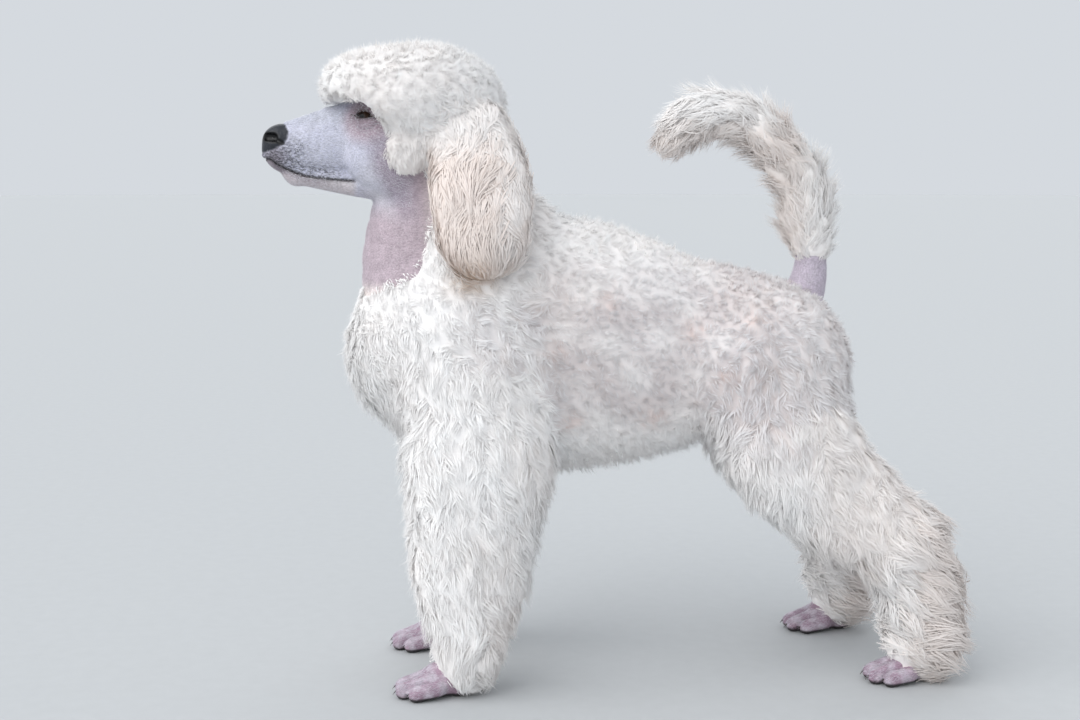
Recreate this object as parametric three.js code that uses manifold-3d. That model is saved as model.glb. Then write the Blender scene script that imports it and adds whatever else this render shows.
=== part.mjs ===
// Standard poodle, about five months old, standing square in a show stack: a still, life-size model.
// Millimetres. +Z is up, the dog faces -X, and its left side is towards -Y.
// The body is one implicit form: round cones and ellipsoids, each with its own coat depth, joined softly.
// Its surface is the outline out to the tips of the coat. Thin cuts part it into the named pieces.
import * as THREE from "three";
import Module from "manifold-3d";
import { mergeVertices } from "three/addons/utils/BufferGeometryUtils.js";

// ---- driving dimensions ----------------------------------------------------
const WITHERS_Z = 464; // top of the coat at the shoulder
const LOIN_Z = 424;
const BRISKET_Z = 202; // underside of the chest
const TUCK_Z = 249; // underside of the loin
const CHEST_HALF_WIDTH = 80;
const LOIN_HALF_WIDTH = 66;
const RUMP_HALF_WIDTH = 66;
const FRONT_FOOT_Y = 76; // half the spacing of the front feet
const HIND_FOOT_Y = 89;
const FRONT_FOOT_X = -190;
const HIND_FOOT_X_LEFT = 274; // the left hind foot stands further back
const HIND_FOOT_X_RIGHT = 243;
const BODY_COAT = 17;
const CHEST_COAT = 26;
const LEG_COAT = 28;
const TAIL_COAT = 22;
const TOPKNOT_COAT = 60;
const EYE = { x: -243, y: 28.3, z: 551, r: 10.5 }; // eyeball
const CLAW = { length: 11, radius: 2.3, drop: 34 };
const GAP = 0.3; // width of every parting cut
const EAR_REST = 3; // how far the ear's inner side lies off the hair under it
const EAR_EDGE = 6; // rounding of the ear's rim, where it meets that hair
const CENTRE_X = 2.9; // brings the middle of the whole length to X = 0
const FLOOR_CUT = 0; // level of the flats under the feet

// ---- the body's forms ------------------------------------------------------
// A chain is a list of stations [x, y, z, half height, half width, coat depth] along a limb or trunk.
// An egg is an ellipsoid: centre, three half axes, coat depth, pitch and roll in degrees.
// "both" repeats a form on each side, with y measured outwards from the middle of the body.
const mid = (top, bottom) => [(top + bottom) / 2, (top - bottom) / 2];
const station = (x, top, bottom, width, coat) => {
  const [z, a] = mid(top, bottom);
  return [x, 0, z, a, width, coat];
};

const FORMS = [
  {
    name: "trunk",
    blend: 20,
    chain: [
      station(-184, 412, 236, RUMP_HALF_WIDTH, CHEST_COAT),
      station(-128, 459, 207, CHEST_HALF_WIDTH, CHEST_COAT),
      station(-66, WITHERS_Z - 1, BRISKET_Z - 1, CHEST_HALF_WIDTH + 2, 20),
      station(-10, 447, 207, CHEST_HALF_WIDTH - 1, BODY_COAT),
      station(45, LOIN_Z, 220, 72, 16),
      station(100, LOIN_Z - 11, TUCK_Z, LOIN_HALF_WIDTH, 16),
      station(156, 396, 260, RUMP_HALF_WIDTH, BODY_COAT),
      station(182, 376, 264, RUMP_HALF_WIDTH - 6, BODY_COAT),
    ],
  },
  { name: "shoulder", blend: 30, side: "both", egg: [-140, 48, 315, 62, 42, 88, 20, 12, 0] },
  {
    name: "throat",
    blend: 20,
    chain: [
      [-174, 0, 360, 76, 56, 0],
      [-192, 0, 415, 60, 46, 0],
      [-194, 0, 468, 47, 41, 0],
      [-206, 0, 498, 36, 38, 0],
    ],
  },
  {
    name: "mane",
    blend: 10,
    chain: [
      [-128, 0, 395, 98, 74, 44],
      [-140, 0, 450, 66, 63, 44],
      [-146, 0, 505, 58, 60, 44],
    ],
  },
  { name: "skull", blend: 16, egg: [-208, 0, 547, 58, 45, 41, 0, 0, 0] },
  { name: "cheek", blend: 16, side: "both", egg: [-224, 25, 515, 42, 20, 33, 0, 0, 0] },
  {
    name: "muzzle",
    blend: 10,
    chain: [
      [-262, 0, 531, 38, 27, 0],
      [-296, 0, 527, 30, 20, 0],
      [-322, 0, 524, 24.5, 16, 0],
    ],
  },
  { name: "nose", blend: 3, egg: [-331, 0, 532, 14, 13.5, 13.5, 0, 0, 0] },
  {
    name: "lower_jaw",
    blend: 4,
    chain: [
      [-240, 0, 490, 15, 26, 0],
      [-280, 0, 493, 11, 17, 0],
      [-313, 0, 497, 8, 10, 0],
    ],
  },
  { name: "topknot", crown: true, blend: 8, egg: [-199, 0, 571, 86, 73, 57, TOPKNOT_COAT, 3, 0] },
  { name: "forelock", crown: true, blend: 16, egg: [-246, 0, 585, 46, 54, 33, TOPKNOT_COAT, 0, 0] },
  { name: "nape", crown: true, blend: 26, egg: [-168, 0, 535, 58, 62, 64, 50, 0, 0] },
  { name: "sideburn", blend: 8, side: "both", egg: [-209, 46, 521, 23, 15, 27, 20, 0, 0] },
  {
    name: "ear",
    blend: 5,
    side: "both",
    chain: [
      [-148, 56, 528, 42, 19, 13],
      [-141, 71, 480, 49, 21, 15],
      [-140, 78, 442, 43, 21, 15],
    ],
  },
  {
    name: "upper_arm",
    blend: 26,
    side: "both",
    chain: [
      [-141, 56, 275, 72, 42, 22],
      [-143, 66, 215, 71, 42, 24],
    ],
  },
  {
    name: "foreleg",
    blend: 22,
    side: "both",
    chain: [
      [-143, 66, 215, 69, 42, LEG_COAT],
      [-152, 74, 120, 61, 42, LEG_COAT + 2],
      [-155, FRONT_FOOT_Y, 60, 43, 38, 24],
      [-157, FRONT_FOOT_Y, 32, 35, 33, 18],
    ],
  },
  { name: "hip", blend: 30, side: "both", egg: [143, 42, 310, 76, 46, 74, BODY_COAT, 0, 0] },
  {
    name: "thigh",
    blend: 30,
    side: "left",
    chain: [
      [148, 48, 300, 74, 46, 18],
      [164, 66, 232, 67, 46, 20],
    ],
  },
  {
    name: "thigh",
    blend: 30,
    side: "right",
    chain: [
      [150, 48, 300, 72, 46, 18],
      [170, 66, 232, 63, 46, 20],
    ],
  },
  {
    name: "shank",
    blend: 22,
    side: "left",
    chain: [
      [164, 66, 232, 67, 46, 26],
      [204, 76, 186, 62, 42, LEG_COAT],
      [264, 85, 142, 50, 40, LEG_COAT],
    ],
  },
  {
    name: "shank",
    blend: 22,
    side: "right",
    chain: [
      [170, 66, 232, 63, 46, 26],
      [198, 76, 186, 58, 42, LEG_COAT],
      [248, 85, 142, 46, 40, LEG_COAT],
    ],
  },
  {
    name: "hock",
    blend: 22,
    side: "left",
    chain: [
      [283, 87, 128, 45, 40, LEG_COAT],
      [293, 88, 85, 47, 38, LEG_COAT],
      [297, HIND_FOOT_Y, 38, 43, 34, 20],
    ],
  },
  {
    name: "hock",
    blend: 22,
    side: "right",
    chain: [
      [262, 87, 128, 44, 40, LEG_COAT],
      [270, 88, 85, 44, 38, LEG_COAT],
      [271, HIND_FOOT_Y, 38, 39, 34, 20],
    ],
  },
  {
    name: "tail_root",
    blend: 14,
    chain: [
      [186, 0, 360, 26, 24, 2],
      [198, 0, 395, 18, 17, 0],
      [200, 0, 428, 14, 14, 0],
    ],
  },
  {
    name: "tail_plume",
    blend: 12,
    chain: [
      [199, 0, 432, 25, 25, 13],
      [194, 0, 458, 33, 31, 21],
      [188, 0, 488, 32, 31, TAIL_COAT],
      [168, 0, 520, 31, 31, TAIL_COAT + 1],
      [138, 0, 547, 31, 30, TAIL_COAT + 1],
      [102, 0, 558, 30, 29, TAIL_COAT],
      [70, 0, 548, 28, 27, 21],
      [52, 0, 528, 18, 18, 12],
    ],
  },
];

// A foot: instep, four arched toes and the heel pad. The middle toes reach furthest.
const TOES = [
  { knuckle: [-6, 7, 15], tip: [-29, 8, 7] },
  { knuckle: [-6, -7, 15], tip: [-29, -8, 7] },
  { knuckle: [3, 15, 12], tip: [-17, 18, 6.5] },
  { knuckle: [3, -15, 12], tip: [-17, -18, 6.5] },
];
const FEET = [
  { name: "forefoot", side: "left", x: FRONT_FOOT_X, y: FRONT_FOOT_Y },
  { name: "forefoot", side: "right", x: FRONT_FOOT_X + 1, y: FRONT_FOOT_Y },
  { name: "hindfoot", side: "left", x: HIND_FOOT_X_LEFT, y: HIND_FOOT_Y },
  { name: "hindfoot", side: "right", x: HIND_FOOT_X_RIGHT, y: HIND_FOOT_Y },
];
for (const { name, side, x, y } of FEET) {
  FORMS.push({ name, blend: 7, side, egg: [x + 9, y, 16, 21, 18, 17, 0, 0, 0] });
  for (const { knuckle: k, tip: t } of TOES)
    FORMS.push({
      name,
      blend: 3,
      side,
      chain: [
        [x + k[0], y + k[1], k[2], 9, 8.2, 0],
        [x + t[0], y + t[1], t[2], 7.6, 7.6, 0],
      ],
    });
  FORMS.push({ name, blend: 4, side, egg: [x + 24, y, 7, 14, 13, 9, 0, 0, 0] });
}

// ---- the implicit body -----------------------------------------------------
const STEPS = 3; // stations set between two of a chain's, on a Catmull-Rom curve

function smoothed(chain) {
  if (chain.length < 3) return chain;
  const ends = chain.map((row) => [...row]);
  const before = ends[0].map((v, i) => 2 * v - ends[1][i]);
  const n = ends.length;
  const after = ends[n - 1].map((v, i) => 2 * v - ends[n - 2][i]);
  const all = [before, ...ends, after];
  const out = [];
  for (let s = 0; s < n - 1; s++)
    for (let j = 0; j < STEPS; j++) {
      const t = j / STEPS;
      out.push(
        all[s].map((p0, i) => {
          const [p1, p2, p3] = [all[s + 1][i], all[s + 2][i], all[s + 3][i]];
          return (
            0.5 *
            (2 * p1 + (p2 - p0) * t + (2 * p0 - 5 * p1 + 4 * p2 - p3) * t * t + (3 * p1 - p0 - 3 * p2 + p3) * t ** 3)
          );
        }),
      );
    }
  out.push(ends[n - 1]);
  return out;
}

// One stretch of a chain as a round cone with an elliptical section.
function stretch(a, b) {
  const A = new THREE.Vector3(a[0], a[1], a[2]),
    axis = new THREE.Vector3(b[0], b[1], b[2]).sub(A),
    length = axis.length();
  axis.divideScalar(length);
  const v = new THREE.Vector3(0, 1, 0).addScaledVector(axis, -axis.y).normalize(),
    u = new THREE.Vector3().crossVectors(axis, v);
  return (x, y, z) => {
    const qx = x - A.x,
      qy = y - A.y,
      qz = z - A.z;
    const s = qx * axis.x + qy * axis.y + qz * axis.z,
      t = Math.min(1, Math.max(0, s / length)),
      w = s - t * length,
      p = qx * u.x + qy * u.y + qz * u.z,
      q = qx * v.x + qy * v.y + qz * v.z,
      ra = a[3] + (b[3] - a[3]) * t,
      rb = a[4] + (b[4] - a[4]) * t;
    const k0 = Math.sqrt((p / ra) ** 2 + (q / rb) ** 2 + (w / ra) ** 2),
      k1 = Math.sqrt((p / ra ** 2) ** 2 + (q / rb ** 2) ** 2 + (w / ra ** 2) ** 2) + 1e-9;
    return (k0 * (k0 - 1)) / k1;
  };
}

function egg([cx, cy, cz, rx, ry, rz, , pitch, roll]) {
  const cp = Math.cos((pitch * Math.PI) / 180),
    sp = Math.sin((pitch * Math.PI) / 180),
    cr = Math.cos((roll * Math.PI) / 180),
    sr = Math.sin((roll * Math.PI) / 180);
  return (x, y, z) => {
    const a = x - cx,
      b = z - cz,
      p = a * cp + b * sp,
      c = -a * sp + b * cp,
      d = y - cy,
      q = d * cr + c * sr,
      r = -d * sr + c * cr;
    const k0 = Math.sqrt((p / rx) ** 2 + (q / ry) ** 2 + (r / rz) ** 2),
      k1 = Math.sqrt((p / rx ** 2) ** 2 + (q / ry ** 2) ** 2 + (r / rz ** 2) ** 2) + 1e-9;
    return (k0 * (k0 - 1)) / k1;
  };
}

const PARTS = [];
for (const form of FORMS) {
  const sides = { both: [-1, 1], left: [-1], right: [1] }[form.side] ?? [1];
  for (const s of sides) {
    if (form.chain) {
      const rows = smoothed(form.chain.map((r) => [r[0], r[1] * s, ...r.slice(2)]));
      const cones = rows.slice(1).map((row, i) => stretch(rows[i], row));
      const reach = Math.max(...rows.flatMap((r) => [r[3], r[4]])) + 45;
      const box = new THREE.Box3().setFromPoints(rows.map((r) => new THREE.Vector3(r[0], r[1], r[2]))).expandByScalar(reach);
      PARTS.push({ name: form.name, crown: form.crown, blend: form.blend, box, at: (x, y, z) => Math.min(...cones.map((c) => c(x, y, z))) });
    } else {
      const e = [...form.egg];
      e[1] *= s;
      const box = new THREE.Box3()
        .setFromPoints([new THREE.Vector3(e[0], e[1], e[2])])
        .expandByScalar(Math.max(e[3], e[4], e[5]) + 45);
      PARTS.push({ name: form.name, crown: form.crown, blend: form.blend, box, at: egg(e) });
    }
  }
}

const soft = (a, b, k) => {
  const h = Math.min(1, Math.max(0, 0.5 + (0.5 * (b - a)) / k));
  return b + (a - b) * h - k * h * (1 - h);
};
// The clipped face: the hair of the crown is cut back clear of these two eggs, to a line just over the eye.
const CLIPPED = [
  [-265, 0, 536, 40, 90, 33, 0, 0, 0],
  [-262, 0, 505, 34, 80, 36, 0, 0, 0],
];
const CLIP_EDGE = 6;
const CROWN_EDGE = 4;
const clippedFace = CLIPPED.map(egg);
const bodyOf = (parts) => (x, y, z) => {
  let d = 60,
    crown = 60;
  for (const p of parts) {
    const b = p.box;
    if (x < b.min.x || x > b.max.x || y < b.min.y || y > b.max.y || z < b.min.z || z > b.max.z) continue;
    if (p.crown) crown = soft(p.at(x, y, z), crown, p.blend);
    else d = soft(p.at(x, y, z), d, p.blend);
  }
  if (crown < 59) {
    for (const clip of clippedFace) crown = -soft(-crown, clip(x, y, z), CLIP_EDGE);
    d = soft(d, crown, CROWN_EDGE);
  }
  return d;
};
const isEar = (p) => p.name === "ear";
const body = bodyOf(PARTS.filter((p) => !isEar(p)));
const earOn = (s) => bodyOf(PARTS.filter((p) => isEar(p) && p.box.getCenter(new THREE.Vector3()).y * s > 0));

// ---- from the implicit form to a closed mesh -------------------------------
// The surface of field < 0 inside a box, as quads on a grid of the given step, drawn onto the true surface.
function surface(field, box, step) {
  const n = ["x", "y", "z"].map((k) => Math.ceil((box.max[k] - box.min[k]) / step) + 3);
  const at = (i, k) => box.min[k] + (i - 1) * step;
  const clipped = (x, y, z) =>
    Math.max(
      field(x, y, z),
      box.min.x - x,
      x - box.max.x,
      box.min.y - y,
      y - box.max.y,
      box.min.z - z,
      z - box.max.z,
    );
  const values = new Float64Array(n[0] * n[1] * n[2]);
  const id = (i, j, k) => (i * n[1] + j) * n[2] + k;
  for (let i = 0; i < n[0]; i++)
    for (let j = 0; j < n[1]; j++)
      for (let k = 0; k < n[2]; k++) values[id(i, j, k)] = clipped(at(i, "x"), at(j, "y"), at(k, "z")) || 1e-6;
  // A grid face whose inside corners lie across its diagonal would pinch the surface: its faintest corner changes sides.
  const strides = [n[1] * n[2], n[2], 1];
  for (let pass = 0, found = true; pass < 12 && found; pass++) {
    found = false;
    for (let i = 0; i < values.length; i++)
      for (const [u, v] of [
        [strides[0], strides[1]],
        [strides[1], strides[2]],
        [strides[0], strides[2]],
      ]) {
        const ring = [i, i + u, i + u + v, i + v];
        if (ring[2] >= values.length) continue;
        const [a, b, c, d] = ring.map((m) => values[m] < 0);
        if (a !== c || b !== d || a === b) continue;
        const faint = ring.reduce((m, q) => (Math.abs(values[q]) < Math.abs(values[m]) ? q : m));
        values[faint] = values[faint] < 0 ? 1e-3 : -1e-3;
        found = true;
      }
  }
  const corner = new Int32Array(values.length).fill(-1);
  const points = [];
  for (let i = 0; i < n[0] - 1; i++)
    for (let j = 0; j < n[1] - 1; j++)
      for (let k = 0; k < n[2] - 1; k++) {
        let inside = 0;
        for (let c = 0; c < 8; c++) inside += values[id(i + (c & 1), j + ((c >> 1) & 1), k + (c >> 2))] < 0;
        if (inside === 0 || inside === 8) continue;
        const sum = [0, 0, 0];
        let crossings = 0;
        for (let c = 0; c < 8; c++)
          for (let axis = 0; axis < 3; axis++) {
            if (c & (1 << axis)) continue;
            const p = [c & 1, (c >> 1) & 1, c >> 2],
              q = [...p];
            q[axis] = 1;
            const a = values[id(i + p[0], j + p[1], k + p[2])],
              b = values[id(i + q[0], j + q[1], k + q[2])];
            if (a < 0 === b < 0) continue;
            p[axis] = a / (a - b);
            for (let m = 0; m < 3; m++) sum[m] += p[m];
            crossings++;
          }
        const v = [at(i, "x"), at(j, "y"), at(k, "z")].map((o, m) => o + (step * sum[m]) / crossings);
        // Two short steps along the gradient bring the vertex onto the surface.
        for (let pass = 0; pass < 2; pass++) {
          const e = 0.5,
            d = clipped(...v);
          if (Math.abs(d) > step) break;
          const g = [0, 1, 2].map((m) => {
            const hi = [...v],
              lo = [...v];
            hi[m] += e;
            lo[m] -= e;
            return (clipped(...hi) - clipped(...lo)) / (2 * e);
          });
          const g2 = g[0] ** 2 + g[1] ** 2 + g[2] ** 2 + 1e-6;
          for (let m = 0; m < 3; m++) v[m] -= Math.max(-step / 3, Math.min(step / 3, (d * g[m]) / g2));
        }
        corner[id(i, j, k)] = points.length / 3;
        points.push(...v);
      }
  const index = [];
  const far = (a, b) => Math.hypot(...[0, 1, 2].map((m) => points[3 * a + m] - points[3 * b + m]));
  for (let axis = 0; axis < 3; axis++) {
    const b = (axis + 1) % 3,
      c = (axis + 2) % 3;
    for (let i = 1; i < n[0] - 1; i++)
      for (let j = 1; j < n[1] - 1; j++)
        for (let k = 1; k < n[2] - 1; k++) {
          const p = [i, j, k],
            q = [...p];
          q[axis]++;
          if (q[axis] > n[axis] - 1) continue;
          const inA = values[id(...p)] < 0,
            inB = values[id(...q)] < 0;
          if (inA === inB) continue;
          const cell = (db, dc) => {
            const r = [...p];
            r[b] -= db;
            r[c] -= dc;
            return corner[id(...r)];
          };
          let quad = [cell(1, 1), cell(0, 1), cell(0, 0), cell(1, 0)];
          if (inB) quad = quad.reverse();
          if (far(quad[0], quad[2]) <= far(quad[1], quad[3])) index.push(quad[0], quad[1], quad[2], quad[0], quad[2], quad[3]);
          else index.push(quad[1], quad[2], quad[3], quad[1], quad[3], quad[0]);
        }
  }
  const geometry = new THREE.BufferGeometry();
  geometry.setAttribute("position", new THREE.Float32BufferAttribute(points, 3));
  geometry.setIndex(index);
  return geometry;
}

// ---- joins and cuts --------------------------------------------------------
const wasm = await Module();
wasm.setup();

function solid(geometry) {
  const g = geometry.clone();
  g.deleteAttribute("normal");
  g.deleteAttribute("uv");
  const merged = mergeVertices(g, 1e-4);
  return new wasm.Manifold(
    new wasm.Mesh({
      numProp: 3,
      vertProperties: new Float32Array(merged.attributes.position.array),
      triVerts: new Uint32Array(merged.index.array),
    }),
  );
}

function geometryOf(made) {
  const m = made.getMesh(),
    n = m.numProp,
    position = new Float32Array(m.numVert * 3);
  for (let i = 0; i < m.numVert; i++) position.set(m.vertProperties.subarray(i * n, i * n + 3), i * 3);
  const g = new THREE.BufferGeometry();
  g.setAttribute("position", new THREE.BufferAttribute(position, 3));
  g.setIndex(new THREE.BufferAttribute(new Uint32Array(m.triVerts), 1));
  return g;
}

// A mesh with a fine grid inside an inner box and a coarse one outside it.
function refined(field, whole, inner, fine, coarse) {
  const blockOf = (grow) => {
    const size = inner.getSize(new THREE.Vector3()).addScalar(2 * grow),
      c = inner.getCenter(new THREE.Vector3());
    return solid(new THREE.BoxGeometry(size.x, size.y, size.z).translate(c.x, c.y, c.z));
  };
  const within = inner.clone().expandByScalar(fine * 1.5).intersect(whole);
  return solid(surface(field, whole, coarse))
    .subtract(blockOf(-0.2))
    .add(solid(surface(field, within, fine)).intersect(blockOf(0)));
}

// A big block that fills the side of a plane that its normal points to, short of the plane by half the gap.
const BLOCK = 1600;
function beyond(point, normal, gap = GAP / 2) {
  const n = new THREE.Vector3(...normal).normalize();
  const g = new THREE.BoxGeometry(BLOCK, BLOCK, BLOCK);
  g.applyQuaternion(new THREE.Quaternion().setFromUnitVectors(new THREE.Vector3(0, 0, 1), n));
  const c = new THREE.Vector3(...point).addScaledVector(n, BLOCK / 2 - gap);
  g.translate(c.x, c.y, c.z);
  return solid(g);
}

// Parting planes: a point and a normal.
const CUT = {
  nose: [[-327, 0, 530], [-1, 0, -0.25]],
  mouth: [[-310, 0, 495.5], [0.05, 0, -1]],
  jaw_back: [[-256, 0, 490], [-1, 0, 0]],
  muzzle: [[-277, 0, 530], [-1, 0, 0]],
  brow: [[-290, 0, 564.5], [0, 0, 1]],
  head: [[-240, 0, 467], [-0.145, 0, 0.989]],
  neck: [[-258, 0, 385], [-0.4155, 0, 0.9095]],
  chest: [[-18, 0, 320], [1, 0, 0]],
  loin: [[88, 0, 320], [1, 0, -0.05]],
  thigh_left: [[160, -60, 300], [0.5, -0.5, -0.7]],
  thigh_right: [[160, 60, 300], [0.5, 0.5, -0.7]],
  middle: [[0, 0, 0], [0, 1, 0]],
  knee: [[178, 0, 212], [0.68, 0, -0.73]],
  hock: [[272, 0, 132], [0.4, 0, -0.92]],
  elbow: [[-140, 0, 190], [0, 0, -1]],
  foot: [[0, 0, 27], [0, 0, -1]],
  tail: [[194, 0, 387], [0.43, 0, 0.9]],
  tail_low: [[197, 0, 437], [-0.06, 0, 1]],
  tail_mid: [[180, 0, 505], [-0.5, 0, 0.87]],
  tail_high: [[120, 0, 554], [-1, 0, 0.3]],
};
const after = (name) => beyond(...CUT[name]); // fills the far side: taking it away keeps the near side
const before = (name) => beyond(CUT[name][0], CUT[name][1].map((v) => -v));
const floor = beyond([0, 0, FLOOR_CUT], [0, 0, -1], 0);

const box = (x0, x1, y0, y1, z0, z1) => new THREE.Box3(new THREE.Vector3(x0, y0, z0), new THREE.Vector3(x1, y1, z1));
const cut = (made, cutters) => cutters.reduce((m, c) => m.subtract(c), made);

// ---- materials -------------------------------------------------------------
const finish = (color, roughness) => new THREE.MeshStandardMaterial({ color, roughness, metalness: 0 });
const COAT = finish(0xefebe6, 0.85);
const CREAM = finish(0xe9dccd, 0.85);
const FACE = finish(0xb9b4c4, 0.7);
const LEATHER = finish(0x1d1c20, 0.35);
const FOOT_SKIN = finish(0xb9a0a8, 0.7);
const EYE_DARK = finish(0x1b1210, 0.1);
const HORN = finish(0x2a2426, 0.5);

const group = new THREE.Group();
group.name = "standard_poodle";
const nodes = {};
function piece(name, made, material) {
  // The largest body is the piece: a cut can leave a crumb of the neighbour's surface.
  const bodies = made.decompose().sort((a, b) => b.volume() - a.volume());
  nodes[name] = bodies[0];
  const mesh = new THREE.Mesh(geometryOf(bodies[0]), material);
  mesh.name = name;
  mesh.position.x = CENTRE_X;
  group.add(mesh);
}

// ---- head, jaw, nose, eyes -------------------------------------------------
const STEP = { face: 9, cheek: 11, crown: 20, neck: 24, trunk: 33, tail: 20, leg: 29, foot: 10, heel: 20, ear: 15 };
const face = solid(surface(body, box(-350, -246, -60, 60, 474, 575), STEP.face));
piece("nose", cut(face, [before("nose"), after("mouth")]), LEATHER);
piece("muzzle", cut(face, [after("nose"), after("mouth"), before("muzzle"), after("brow")]), FACE);
piece("lower_jaw", cut(face, [before("mouth"), before("jaw_back")]), FACE);

const eyeball = (side, grow) => {
  const g = new THREE.SphereGeometry(EYE.r + grow, 9, 7);
  g.rotateX(Math.PI / 2);
  g.translate(EYE.x, side * EYE.y, EYE.z);
  return solid(g);
};
const headBox = box(-310, -60, -96, 96, 440, 660);
const ahead = (name, gap) => beyond(CUT[name][0], CUT[name][1], gap);
const muzzleSpace = ahead("muzzle", GAP / 2).subtract(ahead("brow", -GAP / 2));
const jawSpace = ahead("jaw_back", GAP / 2).intersect(ahead("mouth", GAP / 2));
const headRaw = refined(body, headBox, box(-305, -226, -50, 50, 476, 569), STEP.cheek, STEP.crown);
piece("head", cut(headRaw, [before("head"), muzzleSpace, jawSpace, eyeball(-1, GAP), eyeball(1, GAP)]), COAT);
piece("eye_left", eyeball(-1, 0), EYE_DARK);
piece("eye_right", eyeball(1, 0), EYE_DARK);

// ---- neck and trunk --------------------------------------------------------
const neck = solid(surface(body, box(-300, -20, -96, 96, 340, 540), STEP.neck));
piece("neck", cut(neck, [after("head"), before("neck")]), COAT);
const trunk = solid(surface(body, box(-300, 290, -150, 150, 150, 510), STEP.trunk));
piece("chest", cut(trunk, [after("neck"), after("elbow"), after("chest")]), COAT);
piece("loin", cut(trunk, [before("chest"), after("loin"), after("thigh_left"), after("thigh_right")]), COAT);
piece("rump", cut(trunk, [before("loin"), after("thigh_left"), after("thigh_right"), after("tail")]), COAT);

// ---- tail, in four lengths -------------------------------------------------
const tail = solid(surface(body, box(100, 290, -50, 50, 350, 620), STEP.tail));
piece("tail_root", cut(tail, [before("tail"), after("tail_low")]), FOOT_SKIN);
piece("tail_lower", cut(tail, [before("tail_low"), after("tail_mid")]), COAT);
piece("tail_upper", cut(tail, [before("tail_mid"), after("tail_high")]), COAT);
const tip = solid(surface(body, box(10, 160, -50, 50, 480, 620), STEP.tail));
piece("tail_tip", cut(tip, [before("tail_high")]), COAT);

// ---- legs ------------------------------------------------------------------
const acrossMiddle = {
  left: beyond(CUT.middle[0], CUT.middle[1]),
  right: beyond(CUT.middle[0], CUT.middle[1].map((v) => -v)),
};
for (const side of ["left", "right"]) {
  const half = (x0, x1, z0, z1) => (side === "left" ? box(x0, x1, -160, 24, z0, z1) : box(x0, x1, -24, 160, z0, z1));
  const fore = solid(surface(body, half(-240, -45, -8, 230), STEP.leg));
  piece("foreleg_" + side, cut(fore, [before("elbow"), after("foot"), acrossMiddle[side]]), COAT);
  const hind = solid(surface(body, half(40, 370, -8, 360), STEP.leg));
  piece("thigh_" + side, cut(hind, [before("thigh_" + side), after("knee"), acrossMiddle[side]]), COAT);
  piece("shank_" + side, cut(hind, [before("knee"), after("hock"), acrossMiddle[side]]), COAT);
  piece("hock_" + side, cut(hind, [before("hock"), after("foot"), acrossMiddle[side]]), CREAM);
}

// ---- feet and claws --------------------------------------------------------
const blockAbove = (z) => beyond([0, 0, z], [0, 0, -1], 0);
for (const { name, side, x, y } of FEET) {
  const s = side === "left" ? -1 : 1;
  const whole = box(x - 48, x + 90, s * y - 46, s * y + 46, -16, 44),
    toes = box(x - 50, x + 6, s * y - 50, s * y + 50, -18, 46);
  piece(name + "_" + side, cut(refined(body, whole, toes, STEP.foot, STEP.heel), [before("foot"), floor]), FOOT_SKIN);
  // One claw at the tip of each toe, curved down and short of the floor.
  const wide = refined((a, b, c) => body(a, b, c) - GAP, whole, toes, STEP.foot, STEP.heel);
  TOES.forEach(({ tip: t }, i) => {
    const profile = [0, 0.001, 0.5, 1].map(
      (along, j) => new THREE.Vector2([0, 1.1, 0.85, 0][j] * CLAW.radius, along * CLAW.length),
    );
    const g = new THREE.LatheGeometry(profile, 5);
    const p = g.attributes.position;
    for (let j = 0; j < p.count; j++) p.setZ(j, p.getZ(j) - 0.02 * p.getY(j) ** 2);
    g.rotateZ(Math.PI / 2); // from upright to pointing forward
    g.rotateY((-CLAW.drop * Math.PI) / 180);
    g.translate(x + t[0] - 4, s * (y + t[1]), t[2] + 2.6);
    piece(`claw_${name}_${side}_${i + 1}`, cut(solid(g), [wide, blockAbove(0.8)]), HORN);
  });
}

// ---- ears: hanging flaps of long hair, lying on the head and neck -----------
for (const side of ["left", "right"]) {
  const s = side === "left" ? -1 : 1,
    ear = earOn(s);
  const flap = (x, y, z) => -soft(-ear(x, y, z), body(x, y, z) - EAR_REST, EAR_EDGE);
  piece("ear_" + side, solid(surface(flap, s < 0 ? box(-215, -70, -125, -30, 370, 600) : box(-215, -70, 30, 125, 370, 600), STEP.ear)), CREAM);
}

export default group;
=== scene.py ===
import math

import bpy
import numpy as np
from mathutils import Matrix, Vector
from mathutils.bvhtree import BVHTree
from mathutils.kdtree import KDTree


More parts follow.
